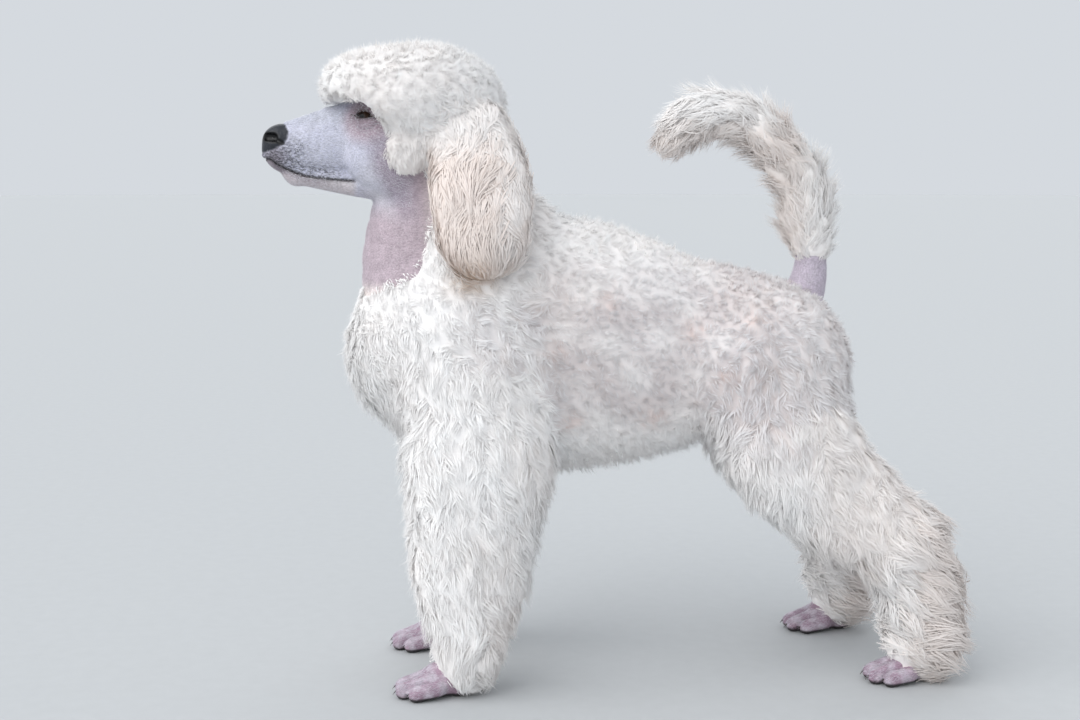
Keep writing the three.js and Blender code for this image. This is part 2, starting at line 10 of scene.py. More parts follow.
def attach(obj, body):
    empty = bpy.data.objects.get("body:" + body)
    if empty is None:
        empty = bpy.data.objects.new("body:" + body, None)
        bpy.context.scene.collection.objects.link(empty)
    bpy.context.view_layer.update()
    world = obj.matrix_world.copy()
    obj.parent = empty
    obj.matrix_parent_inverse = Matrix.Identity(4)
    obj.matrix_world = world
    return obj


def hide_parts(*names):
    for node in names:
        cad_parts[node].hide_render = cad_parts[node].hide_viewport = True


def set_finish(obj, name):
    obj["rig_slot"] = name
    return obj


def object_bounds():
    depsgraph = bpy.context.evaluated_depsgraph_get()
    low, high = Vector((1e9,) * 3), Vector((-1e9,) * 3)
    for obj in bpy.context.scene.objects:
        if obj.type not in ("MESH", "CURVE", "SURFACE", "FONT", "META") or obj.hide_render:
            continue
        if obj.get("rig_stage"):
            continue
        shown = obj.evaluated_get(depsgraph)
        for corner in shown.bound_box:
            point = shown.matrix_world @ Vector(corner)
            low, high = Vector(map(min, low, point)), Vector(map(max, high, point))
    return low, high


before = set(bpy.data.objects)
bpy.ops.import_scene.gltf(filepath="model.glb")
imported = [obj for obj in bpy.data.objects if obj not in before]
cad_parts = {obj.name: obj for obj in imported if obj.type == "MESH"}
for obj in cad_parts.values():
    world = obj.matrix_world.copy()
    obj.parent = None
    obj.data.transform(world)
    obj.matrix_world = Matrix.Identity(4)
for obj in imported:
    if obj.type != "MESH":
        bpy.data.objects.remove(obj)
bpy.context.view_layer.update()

rng = np.random.default_rng(20)
SHIFT = np.array([2.9, 0.0, 0.0])  # the frame's origin is under the middle of the whole length

# ---- driving dimensions: the same as the solids' ------------------------------------------------
WITHERS_Z, LOIN_Z, BRISKET_Z, TUCK_Z = 464, 424, 202, 249
CHEST_HALF_WIDTH, LOIN_HALF_WIDTH, RUMP_HALF_WIDTH = 80, 66, 66
FRONT_FOOT_X, FRONT_FOOT_Y = -190, 76
HIND_FOOT_X_LEFT, HIND_FOOT_X_RIGHT, HIND_FOOT_Y = 274, 243, 89
BODY_COAT, CHEST_COAT, LEG_COAT, TAIL_COAT, TOPKNOT_COAT = 17, 26, 28, 22, 60
EYE = np.array([-243.0, 28.3, 551.0])
EYE_R = 10.5


def station(x, top, bottom, width, coat):
    return [x, 0, (top + bottom) / 2, (top - bottom) / 2, width, coat]


# name, side, blend, rows of [x, y, z, half height, half width, coat], or one egg [x, y, z, rx, ry, rz, coat, pitch, roll]
FORMS = [
    ("trunk", None, 20, [
        station(-184, 412, 236, RUMP_HALF_WIDTH, CHEST_COAT),
        station(-128, 459, 207, CHEST_HALF_WIDTH, CHEST_COAT),
        station(-66, WITHERS_Z - 1, BRISKET_Z - 1, CHEST_HALF_WIDTH + 2, 20),
        station(-10, 447, 207, CHEST_HALF_WIDTH - 1, BODY_COAT),
        station(45, LOIN_Z, 220, 72, 16),
        station(100, LOIN_Z - 11, TUCK_Z, LOIN_HALF_WIDTH, 16),
        station(156, 396, 260, RUMP_HALF_WIDTH, BODY_COAT),
        station(182, 376, 264, RUMP_HALF_WIDTH - 6, BODY_COAT),
    ]),
    ("shoulder", "both", 30, [-140, 48, 315, 62, 42, 88, 20, 12, 0]),
    ("throat", None, 20, [[-174, 0, 360, 76, 56, 0], [-192, 0, 415, 60, 46, 0], [-194, 0, 468, 47, 41, 0], [-206, 0, 498, 36, 38, 0]]),
    ("mane", None, 10, [[-128, 0, 395, 98, 74, 44], [-140, 0, 450, 66, 63, 44], [-146, 0, 505, 58, 60, 44]]),
    ("skull", None, 16, [-208, 0, 547, 58, 45, 41, 0, 0, 0]),
    ("cheek", "both", 16, [-224, 25, 515, 42, 20, 33, 0, 0, 0]),
    ("muzzle", None, 10, [[-262, 0, 531, 38, 27, 0], [-296, 0, 527, 30, 20, 0], [-322, 0, 524, 24.5, 16, 0]]),
    ("nose", None, 3, [-331, 0, 532, 14, 13.5, 13.5, 0, 0, 0]),
    ("lower_jaw", None, 4, [[-240, 0, 490, 15, 26, 0], [-280, 0, 493, 11, 17, 0], [-313, 0, 497, 8, 10, 0]]),
    ("topknot", None, 8, [-199, 0, 571, 86, 73, 57, TOPKNOT_COAT, 3, 0]),
    ("forelock", None, 16, [-246, 0, 585, 46, 54, 33, TOPKNOT_COAT, 0, 0]),
    ("nape", None, 26, [-168, 0, 535, 58, 62, 64, 50, 0, 0]),
    ("sideburn", "both", 8, [-209, 46, 521, 23, 15, 27, 20, 0, 0]),
    ("ear", "both", 5, [[-148, 56, 528, 42, 19, 13], [-141, 71, 480, 49, 21, 15], [-140, 78, 442, 43, 21, 15]]),
    ("upper_arm", "both", 26, [[-141, 56, 275, 72, 42, 22], [-143, 66, 215, 71, 42, 24]]),
    ("foreleg", "both", 22, [
        [-143, 66, 215, 69, 42, LEG_COAT],
        [-152, 74, 120, 61, 42, LEG_COAT + 2],
        [-155, FRONT_FOOT_Y, 60, 43, 38, 24],
        [-157, FRONT_FOOT_Y, 32, 35, 33, 18],
    ]),
    ("hip", "both", 30, [143, 42, 310, 76, 46, 74, BODY_COAT, 0, 0]),
    ("thigh", "left", 30, [[148, 48, 300, 74, 46, 18], [164, 66, 232, 67, 46, 20]]),
    ("thigh", "right", 30, [[150, 48, 300, 72, 46, 18], [170, 66, 232, 63, 46, 20]]),
    ("shank", "left", 22, [[164, 66, 232, 67, 46, 26], [204, 76, 186, 62, 42, LEG_COAT], [264, 85, 142, 50, 40, LEG_COAT]]),
    ("shank", "right", 22, [[170, 66, 232, 63, 46, 26], [198, 76, 186, 58, 42, LEG_COAT], [248, 85, 142, 46, 40, LEG_COAT]]),
    ("hock", "left", 22, [[283, 87, 128, 45, 40, LEG_COAT], [293, 88, 85, 47, 38, LEG_COAT], [297, HIND_FOOT_Y, 38, 43, 34, 20]]),
    ("hock", "right", 22, [[262, 87, 128, 44, 40, LEG_COAT], [270, 88, 85, 44, 38, LEG_COAT], [271, HIND_FOOT_Y, 38, 39, 34, 20]]),
    ("tail_root", None, 14, [[186, 0, 360, 26, 24, 2], [198, 0, 395, 18, 17, 0], [200, 0, 428, 14, 14, 0]]),
    ("tail_plume", None, 12, [
        [199, 0, 432, 25, 25, 13],
        [194, 0, 458, 33, 31, 21],
        [188, 0, 488, 32, 31, TAIL_COAT],
        [168, 0, 520, 31, 31, TAIL_COAT + 1],
        [138, 0, 547, 31, 30, TAIL_COAT + 1],
        [102, 0, 558, 30, 29, TAIL_COAT],
        [70, 0, 548, 28, 27, 21],
        [52, 0, 528, 18, 18, 12],
    ]),
]
TOES = [((-6, 7, 15), (-29, 8, 7)), ((-6, -7, 15), (-29, -8, 7)), ((3, 15, 12), (-17, 18, 6.5)), ((3, -15, 12), (-17, -18, 6.5))]
FEET = [
    ("forefoot", "left", FRONT_FOOT_X, FRONT_FOOT_Y),
    ("forefoot", "right", FRONT_FOOT_X + 1, FRONT_FOOT_Y),
    ("hindfoot", "left", HIND_FOOT_X_LEFT, HIND_FOOT_Y),
    ("hindfoot", "right", HIND_FOOT_X_RIGHT, HIND_FOOT_Y),
]
for _name, _side, _x, _y in FEET:
    FORMS.append((_name, _side, 7, [_x + 9, _y, 16, 21, 18, 17, 0, 0, 0]))
    for _k, _t in TOES:
        FORMS.append((_name, _side, 3, [
            [_x + _k[0], _y + _k[1], _k[2], 9, 8.2, 0],
            [_x + _t[0], _y + _t[1], _t[2], 7.6, 7.6, 0],
        ]))
    FORMS.append((_name, _side, 4, [_x + 24, _y, 7, 14, 13, 9, 0, 0, 0]))
CROWN = ("topknot", "forelock", "nape")
CLIPPED = [[-265, 0, 536, 40, 90, 33], [-262, 0, 505, 34, 80, 36]]


# ---- the implicit body --------------------------------------------------------------------------
def smoothed(rows, steps=3):
    if len(rows) < 3:
        return [list(map(float, r)) for r in rows]
    R = np.array(rows, float)
    E = np.concatenate([[2 * R[0] - R[1]], R, [2 * R[-1] - R[-2]]])
    out = []
    for i in range(len(R) - 1):
        p0, p1, p2, p3 = E[i : i + 4]
        for j in range(steps):
            t = j / steps
            out.append((0.5 * (2 * p1 + (p2 - p0) * t + (2 * p0 - 5 * p1 + 4 * p2 - p3) * t * t + (3 * p1 - p0 - 3 * p2 + p3) * t**3)).tolist())
    out.append(R[-1].tolist())
    return out


def cone(P, A, B, coat):
    A, B = np.array(A, float), np.array(B, float)
    ra, rb = A[3:5], B[3:5]
    if not coat:
        ra, rb = ra - A[5], rb - B[5]
    ax = B[:3] - A[:3]
    length = np.linalg.norm(ax)
    ax = ax / length
    v = np.array([0, 1.0, 0]) - ax * ax[1]
    v /= np.linalg.norm(v)
    u = np.cross(ax, v)
    Q = P - A[:3]
    s = Q @ ax
    t = np.clip(s / length, 0, 1)
    w = s - t * length
    p, q = Q @ u, Q @ v
    a = ra[0] + (rb[0] - ra[0]) * t
    b = ra[1] + (rb[1] - ra[1]) * t
    k0 = np.sqrt((p / a) ** 2 + (q / b) ** 2 + (w / a) ** 2)
    k1 = np.sqrt((p / a**2) ** 2 + (q / b**2) ** 2 + (w / a**2) ** 2) + 1e-9
    return k0 * (k0 - 1) / k1


def egg(P, c, r, pitch=0.0, roll=0.0):
    Q = P - np.array(c, float)
    r = np.array(r, float)
    if pitch or roll:
        cp, sp, cr, sr = math.cos(math.radians(pitch)), math.sin(math.radians(pitch)), math.cos(math.radians(roll)), math.sin(math.radians(roll))
        x, z = Q[:, 0] * cp + Q[:, 2] * sp, -Q[:, 0] * sp + Q[:, 2] * cp
        Q = np.stack([x, Q[:, 1] * cr + z * sr, -Q[:, 1] * sr + z * cr], 1)
    k0 = np.sqrt(((Q / r) ** 2).sum(1))
    k1 = np.sqrt(((Q / r**2) ** 2).sum(1)) + 1e-9
    return k0 * (k0 - 1) / k1


def soft(a, b, k):
    h = np.clip(0.5 + 0.5 * (b - a) / k, 0, 1)
    return b + (a - b) * h - k * h * (1 - h)


class Form:
    def __init__(self, name, side, sign, blend, rows):
        self.name, self.side, self.sign, self.blend = name, side, sign, blend
        if isinstance(rows[0], list):
            self.rows = smoothed([[r[0], r[1] * sign, *r[2:]] for r in rows])
            self.egg = None
            R = np.array(self.rows)
            reach = R[:, 3:5].max() + 45
            self.thin = min(min(r[3] - r[5], r[4] - r[5]) for r in self.rows) < 3
            self.low, self.high = R[:, :3].min(0) - reach, R[:, :3].max(0) + reach
        else:
            self.egg = [rows[0], rows[1] * sign, *rows[2:]]
            self.rows = None
            reach = max(rows[3:6]) + 45
            self.thin = min(rows[3:6]) - rows[6] < 3
            c = np.array(self.egg[:3], float)
            self.low, self.high = c - reach, c + reach

    def at(self, P, coat=True):
        if self.egg:
            return egg(P, self.egg[:3], np.array(self.egg[3:6]) - (0 if coat else self.egg[6]), self.egg[7], self.egg[8])
        d = None
        for A, B in zip(self.rows[:-1], self.rows[1:]):
            x = cone(P, A, B, coat)
            d = x if d is None else np.minimum(d, x)
        return d


BODY = []
for _name, _side, _blend, _rows in FORMS:
    for _s in {"both": (-1, 1), "left": (-1,), "right": (1,)}.get(_side, (1,)):
        BODY.append(Form(_name, "left" if _s < 0 else "right", _s if _side else 1, _blend, _rows))
OFF_EAR = [f for f in BODY if f.name != "ear"]


def field(P, coat=True, forms=BODY):
    """Signed distance, negative inside: out to the tips of the coat, or the bare body under it."""
    d, crown = np.full(len(P), 60.0), np.full(len(P), 60.0)
    for f in forms:
        if not coat and f.thin:
            continue
        m = ((P > f.low) & (P < f.high)).all(1)
        if not m.any():
            continue
        into = crown if f.name in CROWN else d
        into[m] = soft(f.at(P[m], coat), into[m], f.blend)
    m = crown < 59
    if m.any():
        c = crown[m]
        for e in CLIPPED:
            c = -soft(-c, egg(P[m], e[:3], e[3:]), 6)
        d[m] = soft(d[m], c, 4)
    return d


def smoothstep(a, b, x):
    t = np.clip((x - a) / (b - a), 0, 1)
    return t * t * (3 - 2 * t)


def bell(x, w):
    return np.exp(-((x / w) ** 2))


# ---- the bare body: lids, nostrils, lips, folds -------------------------------------------------
EYE_OUT = np.array([-0.56, 0.766, 0.315])
EYE_OUT /= np.linalg.norm(EYE_OUT)
EYE_ALONG = np.array([0.792, 0.588, -0.154])  # from the inner corner to the outer one
EYE_ALONG -= EYE_OUT * (EYE_ALONG @ EYE_OUT)
EYE_ALONG /= np.linalg.norm(EYE_ALONG)
EYE_UP = np.cross(EYE_ALONG, EYE_OUT)
EYE_UP *= np.sign(EYE_UP[2])
LIP = np.array([[-338, 514], [-333, 510], [-328, 507], [-323, 504.5], [-314, 500.5], [-304, 497.5], [-294, 495.8], [-284, 494.8], [-270, 493.8], [-258, 493]])


def lip_height(x):
    return np.interp(x, LIP[:, 0], LIP[:, 1])


def eye_frame(P):
    Q = np.stack([P[:, 0], np.abs(P[:, 1]), P[:, 2]], 1) - EYE
    return Q @ EYE_ALONG, Q @ EYE_UP, Q @ EYE_OUT, np.linalg.norm(Q, axis=1)


def lid_edges(a):
    """Height of the upper and the lower lid's edge over the eye's middle, along the eye."""
    s = np.clip(1 - ((a + 0.5) / 10.2) ** 2, -0.3, 1)
    return 0.9 + 3.3 * s, -0.4 - 2.7 * s + 0.06 * a


def nostril(Q):
    """Distance from the round hole in front and from the slit behind it."""
    hole = cone(Q, [-341.0, 7.8, 534.6, 4.1, 4.1, 0], [-334.5, 11.6, 534.0, 4.3, 4.3, 0], True)
    slit = cone(Q, [-335.0, 13.4, 533.0, 2.2, 2.2, 0], [-324, 16.2, 528.0, 1.0, 1.0, 0], True)
    return hole, slit


def leather_edge(P):
    """Below zero where the nose's leather is."""
    return np.linalg.norm((P - np.array([-337, 0, 534])) / np.array([25.0, 18.5, 15.5]), axis=1) - 1


def face_detail(P, d):
    m = (P[:, 0] < -200) & (P[:, 2] > 470) & (P[:, 2] < 585) & (np.abs(d) < 12)
    if not m.any():
        return d
    Q, f = P[m], d[m].copy()
    x, y, z = Q[:, 0], np.abs(Q[:, 1]), Q[:, 2]
    # lids: a shell round the eyeball, cut open to an almond
    a, b, c, r = eye_frame(Q)
    near = r < 34
    brow = bell(np.hypot(a + 1, b - 12.5), 8) * near  # the ridge over the eye
    f -= 1.6 * brow
    f = np.where(near, soft(f, r - (EYE_R + 1.9), 6.0), f)
    for radius, depth, width in ((14.6, 0.75, 0.9), (17.6, 0.55, 1.0), (21.0, 0.35, 1.1)):
        f += np.where(near, depth * bell(np.hypot(a, b * 1.15) - radius, width) * smoothstep(1, -5, b) * smoothstep(-14, -7, a + b * 0.2), 0)
    f += np.where(near, 0.8 * bell(np.hypot(a, b) - 13.2, 1.1) * smoothstep(2, 7, b), 0)  # fold of the upper lid
    up, low = lid_edges(a)
    hole = np.maximum.reduce([b - up, low - b, -c, np.abs(a + 0.5) - 11.5])
    pocket = np.maximum(hole, (EYE_R - 0.9) - r)
    f = np.where(near, -soft(-f, pocket, 0.7), f)
    f -= np.where(near & (c > 0), 0.5 * bell(np.minimum(np.abs(b - up), np.abs(low - b)) - 0.9, 0.8) * smoothstep(13.5, 10, np.abs(a)), 0)  # rolled rim
    tear = bell(np.hypot(a + 12.4, b + 0.8), 2.2)
    f += np.where(near, 1.4 * tear, 0)  # inner corner
    f = soft(f, egg(np.stack([x, y, z], 1), (-316.5, 0, 497.5), (12.5, 10, 8.5), -28), 4)  # chin
    # mouth: lip line, the upper lip's overhang and the lower lip behind it
    h = lip_height(x)
    along = smoothstep(-256, -264, x)
    f += along * (1.9 * bell(z - h, 0.85) + 0.7 * smoothstep(0, -3, z - h) * smoothstep(-16, -10, z - h))
    f -= along * (0.9 * bell(z - h - 3.6, 3.0) * smoothstep(-250, -285, x))
    f += 1.2 * bell(np.hypot(x + 258, (z - 492.5) * 1.3), 3.5) * smoothstep(10, 16, y)  # corner of the mouth
    f += 0.5 * bell(z - h - 8 - 0.1 * (x + 300), 1.6) * smoothstep(-258, -270, x) * smoothstep(-318, -300, x)
    # nose: comma-shaped nostrils, the groove between them, and the edge of the leather
    n1, n2 = nostril(np.stack([x, y, z], 1))
    f = -soft(-f, soft(n1, n2, 1.5), 1.2)
    f += 1.0 * bell(y, 0.9) * smoothstep(-329, -335, x) * smoothstep(545, 540, z)
    edge = leather_edge(Q)
    f += 0.7 * bell(edge * 16, 1.0) * smoothstep(-306, -314, x)
    # bridge and cheek: flat planes and a cheekbone
    f += 1.3 * bell(y - 15, 7) * bell(x + 292, 22) * smoothstep(528, 540, z)
    f -= 1.4 * bell(np.hypot((x + 236) / 1.8, z - 532), 8) * smoothstep(12, 24, y)
    f += 0.9 * bell(np.hypot((x + 262) / 1.6, z - 517), 9)
    out = d.copy()
    out[m] = f
    return out


def foot_detail(P, d):
    m = (P[:, 2] < 34) & (np.abs(d) < 10)
    if not m.any():
        return d
    Q, f = P[m], d[m].copy()
    for name, side, fx, fy in FEET:
        s = -1 if side == "left" else 1
        X, Y, Z = Q[:, 0] - fx, Q[:, 1] * s - fy, Q[:, 2]
        here = (np.abs(X) < 48) & (np.abs(Y) < 32)
        groove = np.minimum.reduce([np.abs(Y), np.abs(Y - 13.0 - 0.12 * (X + 29)), np.abs(Y + 13.0 + 0.12 * (X + 29))])
        f += np.where(here, 2.6 * bell(groove, 1.3) * smoothstep(6, -8, X) * smoothstep(2, 5, Z), 0)
        f += np.where(here, 1.0 * bell(groove, 1.0) * smoothstep(16, 2, X) * smoothstep(8, 12, Z), 0)  # sinews run up from the toes
        for k, t in TOES:  # a fold of skin over each claw
            c = np.hypot(X - t[0] - 1, Y - t[1])
            f -= np.where(here, 0.7 * bell(c, 3.6) * smoothstep(7, 11, Z), 0)
        f += np.where(here, 0.8 * bell(X - 17, 1.6) * smoothstep(10, 5, Z), 0)  # crease before the heel pad
    out = d.copy()
    out[m] = f
    return out


def skin_field(P):
    d = field(P, coat=False)
    d = face_detail(P, d)
    d = foot_detail(P, d)
    return np.maximum(d, -P[:, 2])


# ---- from a field to a mesh, on a grid whose lines lie closer where the form is finer ------------
def axis_lines(*stretches):
    """(from, to, spacing) stretches that follow each other, as one sorted list of grid lines."""
    out = []
    for a, b, step in stretches:
        n = max(1, round((b - a) / step))
        out.extend(a + (b - a) * np.arange(n) / n)
    out.append(stretches[-1][1])
    return np.array(out)


def sampled(fn, X, Y, Z, band, coarse=12.0):
    """fn on the grid, worked out only near the surface."""
    c = [np.arange(v[0] - coarse, v[-1] + 2 * coarse, coarse) for v in (X, Y, Z)]
    G = np.stack(np.meshgrid(*c, indexing="ij"), -1).reshape(-1, 3)
    C = fn(G).reshape([len(v) for v in c])
    D = C
    for k, v in enumerate((X, Y, Z)):  # linear in each direction in turn
        pos = (v - c[k][0]) / coarse
        i = np.clip(np.floor(pos).astype(int), 0, len(c[k]) - 2)
        w = (pos - i).reshape([-1 if m == k else 1 for m in range(3)])
        D = np.take(D, i, axis=k) * (1 - w) + np.take(D, i + 1, axis=k) * w
    near = np.abs(D) < band
    I = np.argwhere(near)
    P = np.stack([X[I[:, 0]], Y[I[:, 1]], Z[I[:, 2]]], 1)
    D[near] = np.concatenate([fn(part) for part in np.array_split(P, max(1, len(P) // 200000))])
    D[D == 0] = 1e-6
    return D


def unpinched(D):
    """No grid face may have its inside corners across a diagonal: the faintest corner changes sides."""
    for _ in range(8):
        found = 0
        for a, b in ((0, 1), (1, 2), (0, 2)):
            sl = lambda da, db: tuple(slice(1, None) if (k == a and da) or (k == b and db) else slice(None, -1) if k in (a, b) else slice(None) for k in range(3))
            q = [D[sl(0, 0)], D[sl(1, 0)], D[sl(1, 1)], D[sl(0, 1)]]
            s = [v < 0 for v in q]
            bad = (s[0] == s[2]) & (s[1] == s[3]) & (s[0] != s[1])
            if not bad.any():
                continue
            I = np.argwhere(bad)
            off = np.array([[0, 0], [1, 0], [1, 1], [0, 1]])
            vals = np.stack([np.abs(v[bad]) for v in q], 1)
            pick = off[vals.argmin(1)]
            J = I.copy()
            J[:, a] += pick[:, 0]
            J[:, b] += pick[:, 1]
            J = np.unique(J, axis=0)
            old = D[J[:, 0], J[:, 1], J[:, 2]]
            D[J[:, 0], J[:, 1], J[:, 2]] = np.where(old < 0, 1e-3, -1e-3)
            found += len(J)
        if not found:
            break
    return D


def nets(D, X, Y, Z):
    S = D < 0
    n = np.array(D.shape)
    tot = np.zeros(tuple(n - 1), np.int8)
    for i in (0, 1):
        for j in (0, 1):
            for k in (0, 1):
                tot += S[i : n[0] - 1 + i, j : n[1] - 1 + j, k : n[2] - 1 + k]
    act = (tot > 0) & (tot < 8)
    idx = -np.ones(tuple(n - 1), np.int64)
    ids = np.argwhere(act)
    idx[act] = np.arange(len(ids))
    V, W = np.zeros((len(ids), 3)), np.zeros(len(ids))
    I, J, K = ids.T
    for a in [(i, j, k) for i in (0, 1) for j in (0, 1) for k in (0, 1)]:
        for ax in range(3):
            if a[ax]:
                continue
            b = list(a)
            b[ax] = 1
            da, db = D[I + a[0], J + a[1], K + a[2]], D[I + b[0], J + b[1], K + b[2]]
            m = (da < 0) != (db < 0)
            p = np.repeat(np.array(a, float)[None], len(ids), 0)
            p[:, ax] = np.where(m, da / np.where(m, da - db, 1), 0)
            V[m] += p[m]
            W[m] += 1
    V /= W[:, None]
    P = np.stack([np.interp(ids[:, k] + V[:, k], np.arange(n[k]), (X, Y, Z)[k]) for k in range(3)], 1)
    F = []
    for ax in range(3):
        b, c = [(1, 2), (2, 0), (0, 1)][ax]
        s0, s1 = [slice(1, -1)] * 3, [slice(1, -1)] * 3
        s0[ax], s1[ax] = slice(0, -1), slice(1, None)
        A, B = S[tuple(s0)], S[tuple(s1)]
        off = np.ones(3, int)
        off[ax] = 0
        for flip, M in ((False, A & ~B), (True, ~A & B)):
            e = np.argwhere(M) + off
            if not len(e):
                continue

            def cell(db, dc):
                q = e.copy()
                q[:, b] -= db
                q[:, c] -= dc
                return idx[q[:, 0], q[:, 1], q[:, 2]]

            q = np.stack([cell(1, 1), cell(0, 1), cell(0, 0), cell(1, 0)], 1)
            F.append(q[:, ::-1] if flip else q)
    return P, np.concatenate(F)


def gradient(fn, P, d, e=0.3):
    return np.stack([(fn(P + v) - d) / e for v in np.eye(3) * e], 1)


def settled(fn, P, passes=2, most=1.5):
    """Vertices moved along the gradient onto the surface."""
    for _ in range(passes):
        d = fn(P)
        g = gradient(fn, P, d)
        step = (d / ((g**2).sum(1) + 1e-6))[:, None] * g
        length = np.linalg.norm(step, axis=1, keepdims=True) + 1e-9
        P = P - step * np.minimum(1, most / length)
    return P


def relaxed(P, F, weight, rounds=1):
    """Each vertex drawn towards the mean of its face neighbours."""
    for _ in range(rounds):
        s, n = np.zeros_like(P), np.zeros(len(P))
        for k in range(4):
            a, b = F[:, k], F[:, (k + 1) % 4]
            for u, v in ((a, b), (b, a)):
                for m in range(3):
                    s[:, m] += np.bincount(u, P[v, m], len(P))
                n += np.bincount(u, minlength=len(P))
        P = P + (s / np.maximum(n, 1)[:, None] - P) * weight
    return P


# ---- meshes -------------------------------------------------------------------------------------
def mesh_object(name, P, faces, smooth=True):
    """P in millimetres; faces a list of (n, corners) arrays of indices, each with its own number of corners."""
    mesh = bpy.data.meshes.new(name)
    co = ((P + SHIFT) / 1000).astype(np.float32)
    total = sum(f.size for f in faces)
    count = sum(len(f) for f in faces)
    mesh.vertices.add(len(co))
    mesh.vertices.foreach_set("co", co.ravel())
    mesh.loops.add(total)
    mesh.loops.foreach_set("vertex_index", np.concatenate([f.ravel() for f in faces]).astype(np.int32))
    mesh.polygons.add(count)
    starts, at = [], 0
    for f in faces:
        starts.append(at + np.arange(len(f)) * f.shape[1])
        at += f.size
    mesh.polygons.foreach_set("loop_start", np.concatenate(starts).astype(np.int32))
    mesh.update(calc_edges=True)
    if smooth:
        mesh.polygons.foreach_set("use_smooth", np.ones(count, bool))
    o = bpy.data.objects.new(name, mesh)
    bpy.context.scene.collection.objects.link(o)
    return o


def paint(o, rgb, name="tone"):
    """A colour for each vertex, worked out by named functions."""
    at = o.data.color_attributes.new(name, "FLOAT_COLOR", "POINT")
    rgba = np.ones((len(rgb), 4), np.float32)
    rgba[:, :3] = rgb
    at.data.foreach_set("color", rgba.ravel())


def triangles(o):
    n = np.zeros(len(o.data.polygons), np.int32)
    o.data.polygons.foreach_get("loop_total", n)
    return int((n - 2).sum())


# ---- colours (linear), by named places on the body ----------------------------------------------
LILAC = np.array([0.49, 0.50, 0.61])  # clipped face
PALE_FACE = np.array([0.60, 0.585, 0.64])  # white stubble over it
CHEEK = np.array([0.34, 0.29, 0.35])
THROAT = np.array([0.47, 0.385, 0.43])
PINK = np.array([0.90, 0.82, 0.79])  # body skin under the coat
PAW = np.array([0.335, 0.235, 0.30])
TAIL_SKIN = np.array([0.47, 0.415, 0.49])
LEATHER = np.array([0.021, 0.024, 0.032])
PAD = np.array([0.02, 0.017, 0.018])


def mixed(a, b, w):
    return a * (1 - w[:, None]) + b * w[:, None]


def wobble(P, scale, seed):
    """Smooth noise from a few sine waves in fixed directions, about -1 to 1."""
    g = np.random.default_rng(seed)
    out = np.zeros(len(P))
    for _ in range(7):
        k = g.normal(size=3)
        k /= np.linalg.norm(k)
        out += np.sin(P @ k * (2 * np.pi / (scale * g.uniform(0.7, 1.5))) + g.uniform(0, 6.28))
    return out / 3.2


def speckled(P):
    """Where dark bristle spots show on the upper lip, behind the nose and below the eye."""
    x, z = P[:, 0], P[:, 2]
    h = lip_height(x)
    lip = bell(np.maximum(z - h - 5, 0), 9 + 5 * smoothstep(-285, -320, x)) * smoothstep(-256, -286, x) * (z > h - 1)
    behind = bell(np.hypot((x + 314) / 1.3, z - 524), 9)
    return np.clip(lip + 0.8 * behind, 0, 1)


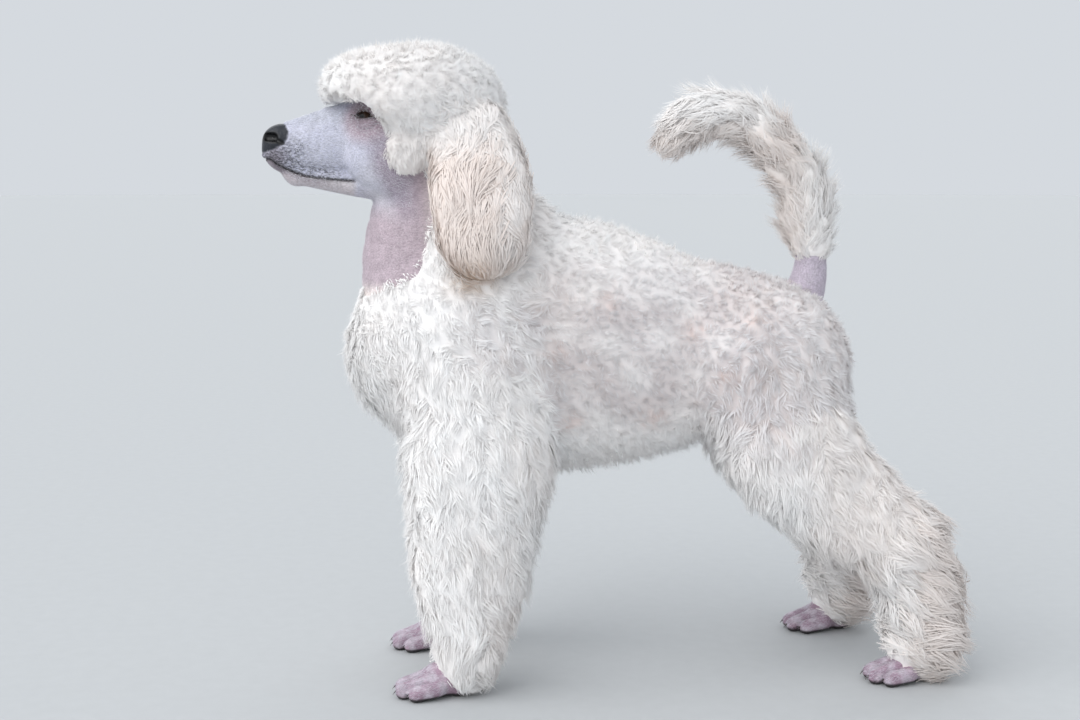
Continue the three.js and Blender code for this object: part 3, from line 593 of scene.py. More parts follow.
def skin_tone(P, N):
    x, y, z = P[:, 0], np.abs(P[:, 1]), P[:, 2]
    c = np.repeat(PINK[None], len(P), 0)
    throat = smoothstep(380, 400, z) * smoothstep(-170, -200, x)
    c = mixed(c, THROAT[None], throat)
    head = smoothstep(452, 486, z + 0.25 * (x + 240)) * smoothstep(-190, -215, x)
    w = wobble(P, 26, 3) * 0.5 + 0.5
    side = smoothstep(-224, -272, x)
    face = mixed(np.repeat(CHEEK[None], len(P), 0), PALE_FACE[None], smoothstep(-240, -258, x + 0.5 * (z - 520)))
    face = mixed(face, LILAC[None], np.clip(0.9 * side + 0.3 * (w - 0.5), 0, 1))
    top = smoothstep(540, 556, z) * smoothstep(-262, -276, x)  # the bridge carries more white stubble
    face = mixed(face, np.array([[0.43, 0.445, 0.51]]), 0.7 * top)
    h = lip_height(x)
    jaw = smoothstep(1.5, -1.5, z - h) * smoothstep(-254, -262, x)
    face = mixed(face, np.array([[0.62, 0.57, 0.59]]), jaw)
    chops = speckled(P)
    face = mixed(face, LILAC[None] * 0.55, 0.52 * chops)
    lower = bell(z - h + 3.5, 3.4) * smoothstep(-262, -300, x) * (z < h)  # the dark lower lip, darkest in front
    face = mixed(face, np.array([[0.24, 0.205, 0.24]]), np.clip(0.72 * lower + 0.5 * bell(x + 333, 9) * (z < h), 0, 1))
    face = mixed(face, np.array([[0.17, 0.15, 0.18]]), 0.90 * bell(np.hypot(x + 334, (z - 514) / 1.2), 14) * (z > h))  # under the nose
    a, b, ce, r = eye_frame(P)
    # pinkish-brown skin round the eye, and a dark patch at its inner upper side that is partly dark skin and partly
    # painted shade of the hair hanging over the eye
    face = mixed(face, np.array([[0.36, 0.27, 0.31]]), 0.80 * smoothstep(33, 18, r))
    face = mixed(face, np.array([[0.11, 0.075, 0.08]]), 0.88 * bell(np.hypot((a + 4) / 1.4, b - 2.5), 9.5) * smoothstep(26, 17, r))
    up, low = lid_edges(a)
    rim = bell(np.minimum(np.abs(b - up), np.abs(low - b)), 1.5) * smoothstep(14, 11, np.abs(a)) * (ce > 0)
    face = mixed(face, np.array([[0.05, 0.035, 0.04]]), np.clip(rim, 0, 1) * smoothstep(20, 16, r))
    pocket = (b < up + 0.2) & (b > low - 0.2) & (ce > 0) & (r < 20)
    face[pocket] = [0.06, 0.03, 0.03]
    lip = bell(z - h + 0.3, 1.7) * smoothstep(-254, -262, x)
    face = mixed(face, np.array([[0.035, 0.03, 0.035]]), np.clip(1.1 * lip, 0, 1))
    c = mixed(c, face, head)
    nose = smoothstep(0.06, -0.03, leather_edge(P) + 0.02 * wobble(P, 5, 9)) * smoothstep(-306, -312, x)
    c = mixed(c, LEATHER[None], nose)
    # painted shade: the inside of each nostril is near black, standing in for the darkness of its depth
    inside = np.minimum(*nostril(np.stack([x, y, z], 1)))
    c = mixed(c, np.array([[0.002, 0.002, 0.003]]), nose * smoothstep(2.0, 0.6, inside))
    tail = smoothstep(356, 370, z) * smoothstep(165, 180, x)
    c = mixed(c, TAIL_SKIN[None], tail)
    foot = smoothstep(78, 60, z)
    paw = mixed(np.repeat(PAW[None], len(P), 0), np.array([[0.56, 0.51, 0.57]]), np.clip(0.45 + 0.8 * wobble(P, 13, 5), 0, 1) * 0.75)
    c = mixed(c, paw, foot)
    pad = smoothstep(5.5, 2.5, z + 1.5 * N[:, 2]) * foot
    c = mixed(c, PAD[None], pad)
    return np.clip(c, 0, 1), nose, head, foot


# ---- skin ---------------------------------------------------------------------------------------
fine = 1.25
eye_step = 0.7
X = axis_lines((-352, -264, fine), (-264, -230, eye_step), (-230, -206, 1.6), (-206, -150, 3.0), (-150, 212, 5.0), (212, 352, 2.2))
half = [(0, 20, fine), (20, 44, eye_step), (44, 60, 2.6), (60, 118, 2.4), (118, 134, 4.0)]
Yp = axis_lines(*half)
Y = np.concatenate([-Yp[:0:-1], Yp])
Z = axis_lines((-6, 32, 1.5), (32, 60, 3.0), (60, 380, 5.0), (380, 474, 3.4), (474, 542, fine), (542, 562, eye_step), (562, 596, 1.8), (596, 612, 5.0))
D = unpinched(sampled(skin_field, X, Y, Z, 14.0))
skin_P, skin_F = nets(D, X, Y, Z)
seen = ((skin_P[:, 0] < -196) & (skin_P[:, 2] > 380)) | (skin_P[:, 2] < 44)  # the rest lies under the coat
skin_P[seen] = settled(skin_field, skin_P[seen], 2)
skin_P = relaxed(skin_P, skin_F, 0.3, 1)
skin_P[seen] = settled(skin_field, skin_P[seen], 1, 0.6)
skin_P[:, 2] = np.maximum(skin_P[:, 2], 0)


def vertex_normals(o):
    n = np.zeros(len(o.data.vertices) * 3, np.float32)
    o.data.vertex_normals.foreach_get("vector", n)
    return n.reshape(-1, 3).astype(float)


skin = mesh_object("skin", skin_P, [skin_F])
skin_N = vertex_normals(skin)
tone, on_nose, on_head, on_foot = skin_tone(skin_P, skin_N)
paint(skin, tone)
wet = skin.data.attributes.new("leather", "FLOAT", "POINT")
wet.data.foreach_set("value", on_nose.astype(np.float32))
bristle = skin.data.attributes.new("bristle", "FLOAT", "POINT")
bristle.data.foreach_set("value", (speckled(skin_P) * on_head * (1 - on_nose)).astype(np.float32))
print("skin", len(skin_P), triangles(skin))


# ---- eyes ---------------------------------------------------------------------------------------
def ring_solid(name, centre, axis, side, profile, around):
    """A closed form turned round an axis: profile rows are (along, radius) from pole to pole."""
    axis = np.array(axis, float) / np.linalg.norm(axis)
    side = np.array(side, float) - axis * (np.array(side, float) @ axis)
    side /= np.linalg.norm(side)
    up = np.cross(axis, side)
    t = np.arange(around) * 2 * np.pi / around
    P = [np.array(centre) + axis * profile[0][0]]
    for along, radius in profile[1:-1]:
        P.extend(np.array(centre) + axis * along + radius * (np.cos(t)[:, None] * side + np.sin(t)[:, None] * up))
    P.append(np.array(centre) + axis * profile[-1][0])
    P = np.array(P)
    i = np.arange(around)
    j = (i + 1) % around
    tris = [np.stack([np.zeros(around, int), 1 + i, 1 + j], 1)]
    quads = []
    rings = len(profile) - 2
    for r in range(rings - 1):
        quads.append(np.stack([1 + r * around + i, 1 + (r + 1) * around + i, 1 + (r + 1) * around + j, 1 + r * around + j], 1))
    last = 1 + (rings - 1) * around
    tris.append(np.stack([np.full(around, len(P) - 1), last + j, last + i], 1))
    return P, [np.concatenate(quads), np.concatenate(tris)]


EYEBALL_R = 10.9
for side, s in (("left", -1), ("right", 1)):
    turn = np.array([1, s, 1])
    gaze = np.array([-0.66, 0.73, 0.16]) * turn
    profile = []
    for k in range(25):
        a = math.pi * k / 24
        r = EYEBALL_R + 1.3 * math.exp(-((a / 0.52) ** 4))  # the cornea stands out over the iris
        profile.append((r * math.cos(a) - (0.55 if a < 0.2 else 0), r * math.sin(a)))
    P, F = ring_solid("eye", EYE * turn, gaze, (0, 0, 1), profile, 40)
    eye = mesh_object("eyeball_" + side, P, F)
    d = (P - EYE * turn) @ (gaze / np.linalg.norm(gaze))
    off = np.sqrt(np.maximum(((P - EYE * turn) ** 2).sum(1) - d**2, 0))
    c = np.repeat(np.array([[0.004, 0.004, 0.005]]), len(P), 0)
    c = mixed(c, np.array([[0.022, 0.009, 0.004]]), smoothstep(2.9, 3.7, off))
    c = mixed(c, np.array([[0.010, 0.006, 0.005]]), smoothstep(6.0, 7.2, off))
    c = mixed(c, np.array([[0.16, 0.11, 0.10]]), smoothstep(7.9, 8.8, off) + (d < 0))
    paint(eye, np.clip(c, 0, 1))
    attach(eye, "root")
    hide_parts("eye_" + side)
    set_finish(eye, "eye")
    eye.data.materials.append(None)

# ---- claws --------------------------------------------------------------------------------------
CLAW_LENGTH, CLAW_RADIUS, CLAW_DROP = 10.0, 2.0, 32
claws = []
for name, side, fx, fy in FEET:
    s = -1 if side == "left" else 1
    allP, quads, tris, at = [], [], [], 0
    for i, (k, t) in enumerate(TOES):
        rings, around = 7, 10
        P = []
        root = np.array([fx + t[0] - 2.5, s * (fy + t[1]), t[2] + 3.2])
        for r in range(rings):
            q = r / (rings - 1)
            a = math.radians(8 + CLAW_DROP * 1.9 * q)
            mid = root + np.array([-math.cos(a * 0.55), 0, -math.sin(a * 0.55)]) * CLAW_LENGTH * q
            rad = CLAW_RADIUS * (1.05 - 0.15 * q) * math.sqrt(max(1 - q**2.4, 0.0))
            if r == rings - 1:
                P.append(mid)
                continue
            th = np.arange(around) * 2 * np.pi / around
            P.extend(mid + np.stack([np.sin(th) * rad * math.sin(a), np.cos(th) * rad * 0.82, np.sin(th) * rad * 1.12], 1))
        P = np.array(P)
        P[:, 2] = np.maximum(P[:, 2], 0.5)
        ii = np.arange(around)
        jj = (ii + 1) % around
        for r in range(rings - 2):
            quads.append(at + np.stack([r * around + ii, (r + 1) * around + ii, (r + 1) * around + jj, r * around + jj], 1))
        last = (rings - 2) * around
        tris.append(at + np.stack([last + jj, last + ii, np.full(around, len(P) - 1)], 1))
        tris.append(at + np.stack([np.zeros(around - 2, int), np.arange(1, around - 1), np.arange(2, around)], 1))
        allP.append(P)
        at += len(P)
    o = mesh_object(f"claws_{name}_{side}", np.concatenate(allP), [np.concatenate(quads), np.concatenate(tris)])
    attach(o, "root")
    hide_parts(*[f"claw_{name}_{side}_{i + 1}" for i in range(4)])
    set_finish(o, "claw")
    claws.append(o)


# ---- an unwrap of the bare body, for the place of each tuft's patch -------------------------------
def low_poly(fn, step, band):
    lines = [np.arange(a, b + step, step) for a, b in ((-356, 356), (-142, 142), (-8, 642))]
    return nets(unpinched(sampled(fn, *lines, band, 16.0)), *lines)


bare_P, bare_F = low_poly(lambda P: field(P, coat=False), 8.0, 18.0)
bare_P[:, 2] = np.maximum(bare_P[:, 2], 0)
bare_T = np.concatenate([bare_F[:, [0, 1, 2]], bare_F[:, [0, 2, 3]]])
bare = mesh_object("bare", bare_P, [bare_T])
bpy.context.view_layer.objects.active = bare
bare.select_set(True)
bpy.ops.object.mode_set(mode="EDIT")
bpy.ops.mesh.select_all(action="SELECT")
bpy.ops.uv.smart_project(angle_limit=math.radians(66), island_margin=0.004)
bpy.ops.object.mode_set(mode="OBJECT")
bare_uv = np.zeros(len(bare.data.loops) * 2, np.float32)
bare.data.uv_layers.active.uv.foreach_get("vector", bare_uv)
bare_uv = bare_uv.reshape(-1, 3, 2).astype(float)
bpy.data.objects.remove(bare)
bare_tree = BVHTree.FromPolygons([Vector(p) for p in bare_P], bare_T.tolist())


def on_bare(Q):
    """Nearest point, outward normal and unwrap place on the bare body for each point."""
    loc, nor, face = np.zeros((len(Q), 3)), np.zeros((len(Q), 3)), np.zeros(len(Q), int)
    find = bare_tree.find_nearest
    for i, q in enumerate(Q.tolist()):
        a, b, c, _ = find(q)
        loc[i], nor[i], face[i] = a, b, c
    A, B, C = (bare_P[bare_T[face, k]] for k in range(3))
    e0, e1, e2 = B - A, C - A, loc - A
    d00, d01, d11 = (e0 * e0).sum(1), (e0 * e1).sum(1), (e1 * e1).sum(1)
    d20, d21 = (e2 * e0).sum(1), (e2 * e1).sum(1)
    den = d00 * d11 - d01 * d01 + 1e-12
    v, w = (d11 * d20 - d01 * d21) / den, (d00 * d21 - d01 * d20) / den
    uv = bare_uv[face]
    return loc, nor, uv[:, 0] * (1 - v - w)[:, None] + uv[:, 1] * v[:, None] + uv[:, 2] * w[:, None]


# ---- the coat's outer form, where the tufts' tips lie ---------------------------------------------
outer_P, outer_F = low_poly(field, 7.0, 16.0)


def unit(v):
    return v / (np.linalg.norm(v, axis=-1, keepdims=True) + 1e-9)


# Each kind of coat: lie (along the body, y outwards), stand (0 lies flat, 1 stands out), lay (length of a tuft along the coat, mm),
# tufts per square mm, tuft width, lock spacing, pull into the lock, swirl of the lock's own way, curl size, turns, lock hook, scatter of tips,
# depth of the closed fleece that the tufts grow out of, height of a lock's dome as a share of its width, share of straight short tufts
KINDS = {
    "crown": dict(lie=(0.35, 0.0, 0.20), stand=0.38, lay=6, per=0.76, width=0.95, lock=5.5, pull=0.20, swirl=1.60, curl=1.2, turns=0.8, hook=1.2, scatter=1.1, deep=4.7, dome=0.05, plain=0.86),
    "curls": dict(lie=(0.2, 0.0, -0.8), stand=0.34, lay=11, per=0.46, width=1.1, lock=9.0, pull=0.42, swirl=0.80, curl=1.8, turns=0.9, hook=2.6, scatter=2.0, deep=5.4, dome=0.24, plain=0.5),
    "neck": dict(lie=(0.45, 0.0, -0.75), stand=0.25, lay=14, per=0.27, width=1.2, lock=13.0, pull=0.42, swirl=0.65, curl=1.5, turns=0.7, hook=2.8, scatter=2.2, deep=5.6, dome=0.22, plain=0.66),
    "body": dict(lie=(0.75, 0.0, -0.45), stand=0.46, lay=5.2, per=0.395, width=0.98, lock=6.5, pull=0.46, swirl=2.3, curl=1.2, turns=0.7, hook=2.4, scatter=1.8, deep=4.9, dome=0.30, plain=0.84),
    "leg": dict(lie=(0.18, 0.10, -0.90), stand=0.27, lay=15, per=0.208, width=1.2, lock=12.0, pull=0.44, swirl=0.60, curl=1.6, turns=0.7, hook=3.2, scatter=3.0, deep=6.0, dome=0.20, plain=0.66),
    "hock": dict(lie=(0.80, 0.05, -0.45), stand=0.46, lay=26, per=0.195, width=1.25, lock=15.0, pull=0.64, swirl=0.70, curl=3.2, turns=0.9, hook=7.0, scatter=6.0, deep=8.0, dome=0.28, plain=0.40),
    "ear": dict(lie=(0.10, 0.02, -1.0), stand=0.07, lay=32, per=0.220, width=1.30, lock=12.0, pull=0.50, swirl=0.20, curl=2.4, turns=1.0, hook=3.4, scatter=1.5, deep=2.0, dome=0.20, plain=0.0),
    "plume": dict(lie=(0, 0, 0), stand=0.48, lay=20, per=0.225, width=1.15, lock=12.0, pull=0.66, swirl=0.36, curl=1.7, turns=0.6, hook=4.2, scatter=5.4, deep=8.6, dome=0.18, plain=0.38),
}
KIND_OF = {
    "topknot": "crown", "forelock": "crown", "nape": "crown", "sideburn": "curls", "ear": "ear", "mane": "neck", "shoulder": "neck",
    "trunk": "body", "hip": "body", "upper_arm": "leg", "foreleg": "leg", "thigh": "leg", "shank": "leg", "hock": "hock", "tail_plume": "plume",
}
REGION_OF = {
    "topknot": "topknot", "forelock": "topknot", "nape": "topknot", "sideburn": "topknot", "ear": "ear", "mane": "neck", "shoulder": "neck",
    "trunk": "body", "hip": "body", "upper_arm": "foreleg", "foreleg": "foreleg", "thigh": "hindleg", "shank": "hindleg", "hock": "hindleg",
    "tail_plume": "tail",
}
HAIRY = [f for f in BODY if f.name in KIND_OF]
PLUME = np.array(next(f for f in BODY if f.name == "tail_plume").rows)[:, :3]
NUMBERS = ("stand", "lay", "per", "width", "lock", "pull", "swirl", "curl", "turns", "hook", "scatter", "deep", "dome", "plain")


def coat_at(P):
    """For each point: share of every hairy form, the leading one, and the blended numbers and lie."""
    D = np.full((len(P), len(HAIRY)), 60.0)
    for i, f in enumerate(HAIRY):
        m = ((P > f.low) & (P < f.high)).all(1)
        if m.any():
            D[m, i] = f.at(P[m])
    lead = D.argmin(1)
    W = np.exp(-(D - D.min(1, keepdims=True)) / 7.0)
    W /= W.sum(1, keepdims=True)
    out = {k: W @ np.array([KINDS[KIND_OF[f.name]][k] for f in HAIRY]) for k in NUMBERS}
    side = np.where(P[:, 1] < 0, -1.0, 1.0)
    lie = np.zeros((len(P), 3))
    for i, f in enumerate(HAIRY):
        v = np.array(KINDS[KIND_OF[f.name]]["lie"], float)
        V = np.repeat(v[None], len(P), 0)
        V[:, 1] *= side
        if f.name == "tail_plume":  # towards the tip of the tail
            near = ((P[:, None] - PLUME[None]) ** 2).sum(2).argmin(1)
            V = unit(PLUME[np.minimum(near + 1, len(PLUME) - 1)] - PLUME[np.maximum(near - 1, 0)])
        lie += W[:, i : i + 1] * V
    return lead, out, lie


def spread(P, F, per):
    """Points spread over quads, per giving how many for each face; returns points."""
    A, B, C, E = (P[F[:, k]] for k in range(4))
    area = 0.5 * np.linalg.norm(np.cross(C - A, E - B), axis=1)
    want = area * per
    n = np.floor(want + rng.random(len(F))).astype(int)
    face = np.repeat(np.arange(len(F)), n)
    first = np.concatenate([[0], np.cumsum(n)[:-1]])
    k = np.arange(len(face)) - first[face]
    o = rng.random((len(F), 2))[face]  # each face has its own start in one even sequence
    u, v = (o[:, 0] + 0.7548777 * k) % 1.0, (o[:, 1] + 0.5698403 * k) % 1.0
    a = (1 - u)[:, None] * A[face] + u[:, None] * B[face]
    b = (1 - u)[:, None] * E[face] + u[:, None] * C[face]
    return (1 - v)[:, None] * a + v[:, None] * b


# ---- tufts --------------------------------------------------------------------------------------
def tuft_part(line, radius, flat, up, uv, colour, softness, seed, way, bulge, span):
    """line (n, rings+1, 3): centre lines whose last row is the point; radius (n, rings); one closed three-sided tuft each, its low ridge outwards."""
    n, S = line.shape[0], line.shape[1] - 1
    ahead = unit(np.concatenate([line[:, 1:2] - line[:, 0:1], line[:, 2:] - line[:, :-2]], 1) if S > 1 else line[:, 1:2] - line[:, 0:1])
    b = unit(np.cross(ahead, up[:, None]))
    m = np.cross(b, ahead)
    ring, lean = [], []
    for k in range(3):
        a = 2 * math.pi * k / 3 + math.pi / 2
        ring.append(line[:, :S] + radius[:, :, None] * (math.cos(a) * b + (math.sin(a) + 0.2) * flat * m))
        lean.append(0.55 * math.cos(a) * b + m)
    V = np.concatenate([np.stack(ring, 2).reshape(n, S * 3, 3), line[:, S:]], 1)
    V[:, :, 2] = np.maximum(V[:, :, 2], 0.4)
    away = np.concatenate([np.stack(lean, 2).reshape(n, S * 3, 3), m[:, -1:]], 1)
    share = softness
    rel = (V - seed[:, None]) / span[:, None, None]
    rel -= up[:, None] * (rel * up[:, None]).sum(2, keepdims=True)
    rel -= way[:, None] * (rel * way[:, None]).sum(2, keepdims=True) * 0.7
    rel /= np.maximum(1, np.linalg.norm(rel, axis=2, keepdims=True))
    out = unit(up[:, None] + rel * bulge[:, None, None])  # the form of the lock that the tuft belongs to
    outer = unit(away * (1 - share) + out * share).astype(np.float32)
    inner = -np.concatenate([np.repeat(m[:, :S], 3, 1), m[:, -1:]], 1).astype(np.float32)  # the flat side keeps its own
    step = S * 3 + 1
    quad = np.array([[3 * j + c, 3 * j + 3 + c, 3 * j + 3 + (c + 1) % 3, 3 * j + (c + 1) % 3] for j in range(S - 1) for c in range(3)], int).reshape(-1, 4)
    tri = np.array([[3 * (S - 1) + (c + 1) % 3, 3 * (S - 1) + c, 3 * S] for c in range(3)] + [[0, 1, 2]])
    below = [np.tile([False, True, False], S - 1), np.array([False, True, False, True])]
    normal = [np.where(w[None, :, None, None], inner[:, f], outer[:, f]).reshape(-1, 3) for f, w in zip((quad, tri), below)]
    base = np.arange(n)[:, None, None] * step
    # the tuft's patch on the unwrap
    j = np.repeat(np.arange(S), 3)
    c = np.tile(np.arange(3), S)
    patch = np.concatenate([np.stack([(c - 1) * 0.0014 * (1 - 0.3 * j / S), (j / S - 0.5) * 0.003], 1), [[0, 0.0015]]])
    at = (uv[:, None] + patch[None]).reshape(-1, 2)
    return V.reshape(-1, 3), (base + quad[None]).reshape(-1, 4), (base + tri[None]).reshape(-1, 3), at, colour.reshape(-1, 3), normal


def tuft_mesh(name, parts):
    start = np.cumsum([0] + [len(p[0]) for p in parts[:-1]])
    V, at, colour = (np.concatenate([p[i] for p in parts]) for i in (0, 3, 4))
    normal = np.concatenate([p[5][i] for i in (0, 1) for p in parts])
    faces = [np.concatenate([p[i] + o for p, o in zip(parts, start)]) for i in (1, 2)]
    faces = [f for f in faces if len(f)]
    o = mesh_object(name, V, faces)
    layer = o.data.uv_layers.new(name="OFBake")
    index = np.concatenate([f.ravel() for f in faces])
    layer.uv.foreach_set("vector", at[index].astype(np.float32).ravel())
    paint(o, colour)
    o.data.normals_split_custom_set(normal.tolist())
    return o


# the root colours are darker and warmer than the tips: partly the undercoat's own beige, partly painted shade deep in
# the coat
WHITE_TIP, WHITE_ROOT = np.array([0.95, 0.945, 0.94]), np.array([0.945, 0.925, 0.915])
CREAM_TIP, CREAM_ROOT = np.array([0.79, 0.695, 0.645]), np.array([0.78, 0.675, 0.615])
ROSE_SHADE_TIP, ROSE_SHADE_ROOT = np.array([0.76, 0.755, 0.775]), np.array([0.67, 0.60, 0.585])  # the short coat of the trunk lets the skin's warmth through, and the greyer tip and darker root are also painted shade on the trunk's sides, the lower hindquarters and the shoulder under the ear
STAIN = np.array([0.50, 0.33, 0.20])
BLUSH = [(64, 352, 11), (30, 262, 13), (-52, 262, 10), (92, 300, 9), (-20, 380, 9), (-70, 330, 9), (120, 362, 8)]  # x, z and size of the pinkish places on the sides
SOFTNESS = 0.78  # how far a tuft's shading follows the form of the whole coat


def coat_tone(P, lead):
    """Tip and root colour at a place on the coat."""
    x, y, z = P[:, 0], np.abs(P[:, 1]), P[:, 2]
    name = np.array([f.name for f in HAIRY])[lead]
    cream = 0.06 + 0.06 * wobble(P, 90, 11)
    cream += 0.80 * (name == "ear") * (0.30 + 0.70 * smoothstep(545, 490, z)) * (0.45 + 0.55 * smoothstep(-108, -138, x))
    cream += 0.40 * (name == "hock") * smoothstep(262, 305, x) + 0.12 * (name == "hock")
    cream += 0.25 * (name == "shank") * smoothstep(150, 200, x)
    cream += 0.30 * (name == "foreleg") * smoothstep(-160, -120, x) * smoothstep(110, 50, z)
    cream += 0.40 * (name == "tail_plume") * smoothstep(8, -22, np.where(x < 150, z - 552, x - 185))
    cream += 0.20 * (name == "sideburn")
    cream += 0.14 * (name == "mane") * smoothstep(-150, -100, x)
    cream = np.clip(cream, 0, 1)
    # painted shade: the trunk's sides, the lower hindquarters and the front of the shoulder under the ear are greyed
    # towards the rose colours, with the skin's warmth showing in the roots
    trunk = smoothstep(-130, -65, x) * smoothstep(235, 275, z) * smoothstep(190, 90, x) * smoothstep(440, 370, z) * np.isin(name, ["trunk", "shoulder", "hip", "thigh", "mane"])
    rose_shade = np.clip(trunk * (0.75 + 0.35 * wobble(P, 45, 12)) + 0.62 * smoothstep(60, 120, x) * smoothstep(190, 250, z) * np.isin(name, ["trunk", "hip", "thigh"]) + 0.42 * (name == "shoulder") * smoothstep(-180, -140, x), 0, 1)
    tip = mixed(np.repeat(WHITE_TIP[None], len(P), 0), ROSE_SHADE_TIP[None], rose_shade)
    root = mixed(np.repeat(WHITE_ROOT[None], len(P), 0), ROSE_SHADE_ROOT[None], rose_shade)
    spots = np.zeros(len(P))
    for sx, sz, sr in BLUSH:
        spots += bell(np.hypot(x - sx, z - sz), sr)
    spots = np.clip(spots * (0.7 + 0.5 * wobble(P, 9, 14)), 0, 1) * np.isin(name, ["trunk", "hip", "thigh", "shoulder", "mane"])
    tip = mixed(tip, np.array([[0.80, 0.72, 0.69]]), 0.45 * spots)
    root = mixed(root, np.array([[0.76, 0.58, 0.53]]), 0.8 * spots)
    tip = mixed(tip, CREAM_TIP[None], cream)
    root = mixed(root, CREAM_ROOT[None], cream)
    under_ear = 0.8 * bell(np.sqrt((x + 150) ** 2 + ((z - 398) * 1.5) ** 2), 20) * smoothstep(58, 72, y)
    tip = mixed(tip, STAIN[None], np.clip(under_ear, 0, 1))
    return tip, root


def grow():
    centres = outer_P[outer_F].mean(1)
    lead, num, _ = coat_at(centres)
    thick = smoothstep(3.5, 7.0, field(centres, coat=False))  # bare places grow no tufts
    inner = smoothstep(45, 10, np.abs(centres[:, 1])) * smoothstep(300, 200, centres[:, 2])
    T = spread(outer_P, outer_F, num["per"] * thick * (1 - 0.50 * inner) * (1.0))
    d = field(T)
    g = gradient(field, T, d)
    n = unit(g)
    T = T - n * (d / np.maximum(np.linalg.norm(g, axis=1), 0.3))[:, None]
    return T, n, spread(outer_P, outer_F, thick / num["lock"] ** 2)


T, N, seeds = grow()
count = len(T)


def hair(P, N):
    """Leading form's name, numbers and lie of the coat at points of its outer form."""
    lead, num, lie = coat_at(P)
    name = np.array([f.name for f in HAIRY])[lead]
    fall = smoothstep(-60, -105, P[:, 0]) * (name == "trunk")  # the chest's hair is longer than the back's
    for key in NUMBERS:
        if key != "per":
            num[key] = num[key] * (1 - fall) + KINDS["neck"][key] * fall
    num["stand"] = num["stand"] + 0.30 * smoothstep(284, 262, P[:, 2]) * (name == "trunk")
    lie = unit(lie)
    along = unit(lie - N * (lie * N).sum(1, keepdims=True) + 1e-6)
    # the lie wanders a little, so that no two locks run alike
    drift = np.stack([wobble(P, 60, 31), wobble(P, 60, 32), wobble(P, 60, 33)], 1) * 0.4
    along = unit(along + drift - N * (drift * N).sum(1, keepdims=True))
    return lead, name, num, along


lead, names, num, along = hair(T, N)
region = np.array([REGION_OF[v] for v in names])
region[(names == "trunk") & (T[:, 0] < -70)] = "neck"

# locks: each tuft leans to the tip of the nearest lock, which turns its own way
tree = KDTree(len(seeds))
for i, v in enumerate(seeds.tolist()):
    tree.insert(v, i)
tree.balance()
seed_n = unit(gradient(field, seeds, field(seeds)))
ns = len(seeds)
hook = rng.normal(size=(ns, 3))
hook -= seed_n * (hook * seed_n).sum(1, keepdims=True)
hook = unit(hook) * rng.uniform(0.35, 1.0, ns)[:, None]
rise = np.clip(rng.normal(0, 1, ns), -1.9, 1.9)
phase = rng.uniform(0, 2 * math.pi, ns)
shade = rng.normal(0, 1, ns)


def in_lock(P, N, names, num, along):
    """Nearest lock, its way along the coat, and how high its dome stands there: a low dome, longer than wide."""
    lock = np.array([tree.find(v)[1] for v in P.tolist()])
    crown = np.isin(names, CROWN)
    way = along * np.where(crown, 0.35, 1.0)[:, None] + hook[lock] * num["swirl"][:, None]
    way = unit(way - N * (way * N).sum(1, keepdims=True))
    off = P - seeds[lock]
    off -= N * (off * N).sum(1, keepdims=True)
    run = (off * way).sum(1)
    far = np.sqrt(np.maximum((off**2).sum(1) - run**2, 0) + (0.5 * run) ** 2) / num["lock"]
    high = num["dome"] * num["lock"] * (0.25 - np.minimum(far, 0.9) ** 2) + rise[lock] * num["scatter"] * 0.35
    return lock, way, high


thick = np.maximum(field(T, coat=False), 2.0)
scale = np.clip(thick / 16, 0.35, 1.2)
scale = np.maximum(scale, 0.8 * smoothstep(284, 262, T[:, 2]) * (names == "trunk"))  # the fringe of the belly
lock, way, high = in_lock(T, N, names, num, along)
own = rng.normal(size=(count, 3)) * 0.22
bent = unit(way + own - N * (own * N).sum(1, keepdims=True))
stand = np.clip(num["stand"] * (1 + 0.45 * rise[lock]), 0.03, 0.8)
tip_way = unit(bent * (1 - stand)[:, None] + N * stand[:, None])

pull = np.clip(num["pull"] * rng.uniform(0.6, 1.2, count), 0, 0.9)
target = seeds[lock] + hook[lock] * (num["hook"] * scale)[:, None]
shift = (target - T) * pull[:, None]
reach = np.linalg.norm(shift, axis=1, keepdims=True)
shift *= np.minimum(1, (0.9 * num["lock"])[:, None] / (reach + 1e-9))
tip = T + shift + tip_way * ((np.clip(rng.normal(0, 0.5, count), -1, 1) + 0.55 * np.maximum(rise[lock], -0.5)) * num["scatter"] * scale)[:, None]
loose = rng.random(count) < np.where(np.isin(names, CROWN), 0.12, 0.07)  # a few hairs stand out of the rest
tip += N * (high * scale + np.where(loose, rng.uniform(0.5, 3.8, count), -rng.uniform(0.0, 1.3, count)) * scale)[:, None]
tip += along * (np.clip(rng.normal(0, 1, count), -1.8, 1.8) * num["scatter"] * 0.7 * scale)[:, None]
fringe = smoothstep(246, 228, T[:, 2]) * (names == "trunk")  # the belly's hair hangs past its form
tip += (N * 0.55 + along * 0.6) * (fringe * rng.uniform(0.0, 7.5, count))[:, None]
tip[:, 2] = np.maximum(tip[:, 2], 1.0)
# each tuft comes out of the fleece behind its tip and a little aside from it
lay = num["lay"] * np.clip(scale, 0.5, 1) * rng.uniform(0.75, 1.25, count)
root_depth = np.minimum(num["deep"] * scale + 2.5, thick + 1.0)
R = T + shift * 0.3 + N * (high * scale - root_depth)[:, None] - bent * lay[:, None]
_, _, Ruv = on_bare(R - N * (thick * 0.5)[:, None])
print("tufts", count, "roots found")


# no tuft hangs over the eye
ea, eb, ec, er = eye_frame(tip)
fa, fb, fc, fr = eye_frame(0.6 * tip + 0.4 * R)
clear = ~(((ea > -15) & (ea < 18.5) & (eb < 9.0) & (eb > -12) & (ec > 0) & (er < 32)) | ((fa > -14) & (fa < 17.0) & (fb < 8.0) & (fb > -12) & (fc > 0) & (fr < 30)))


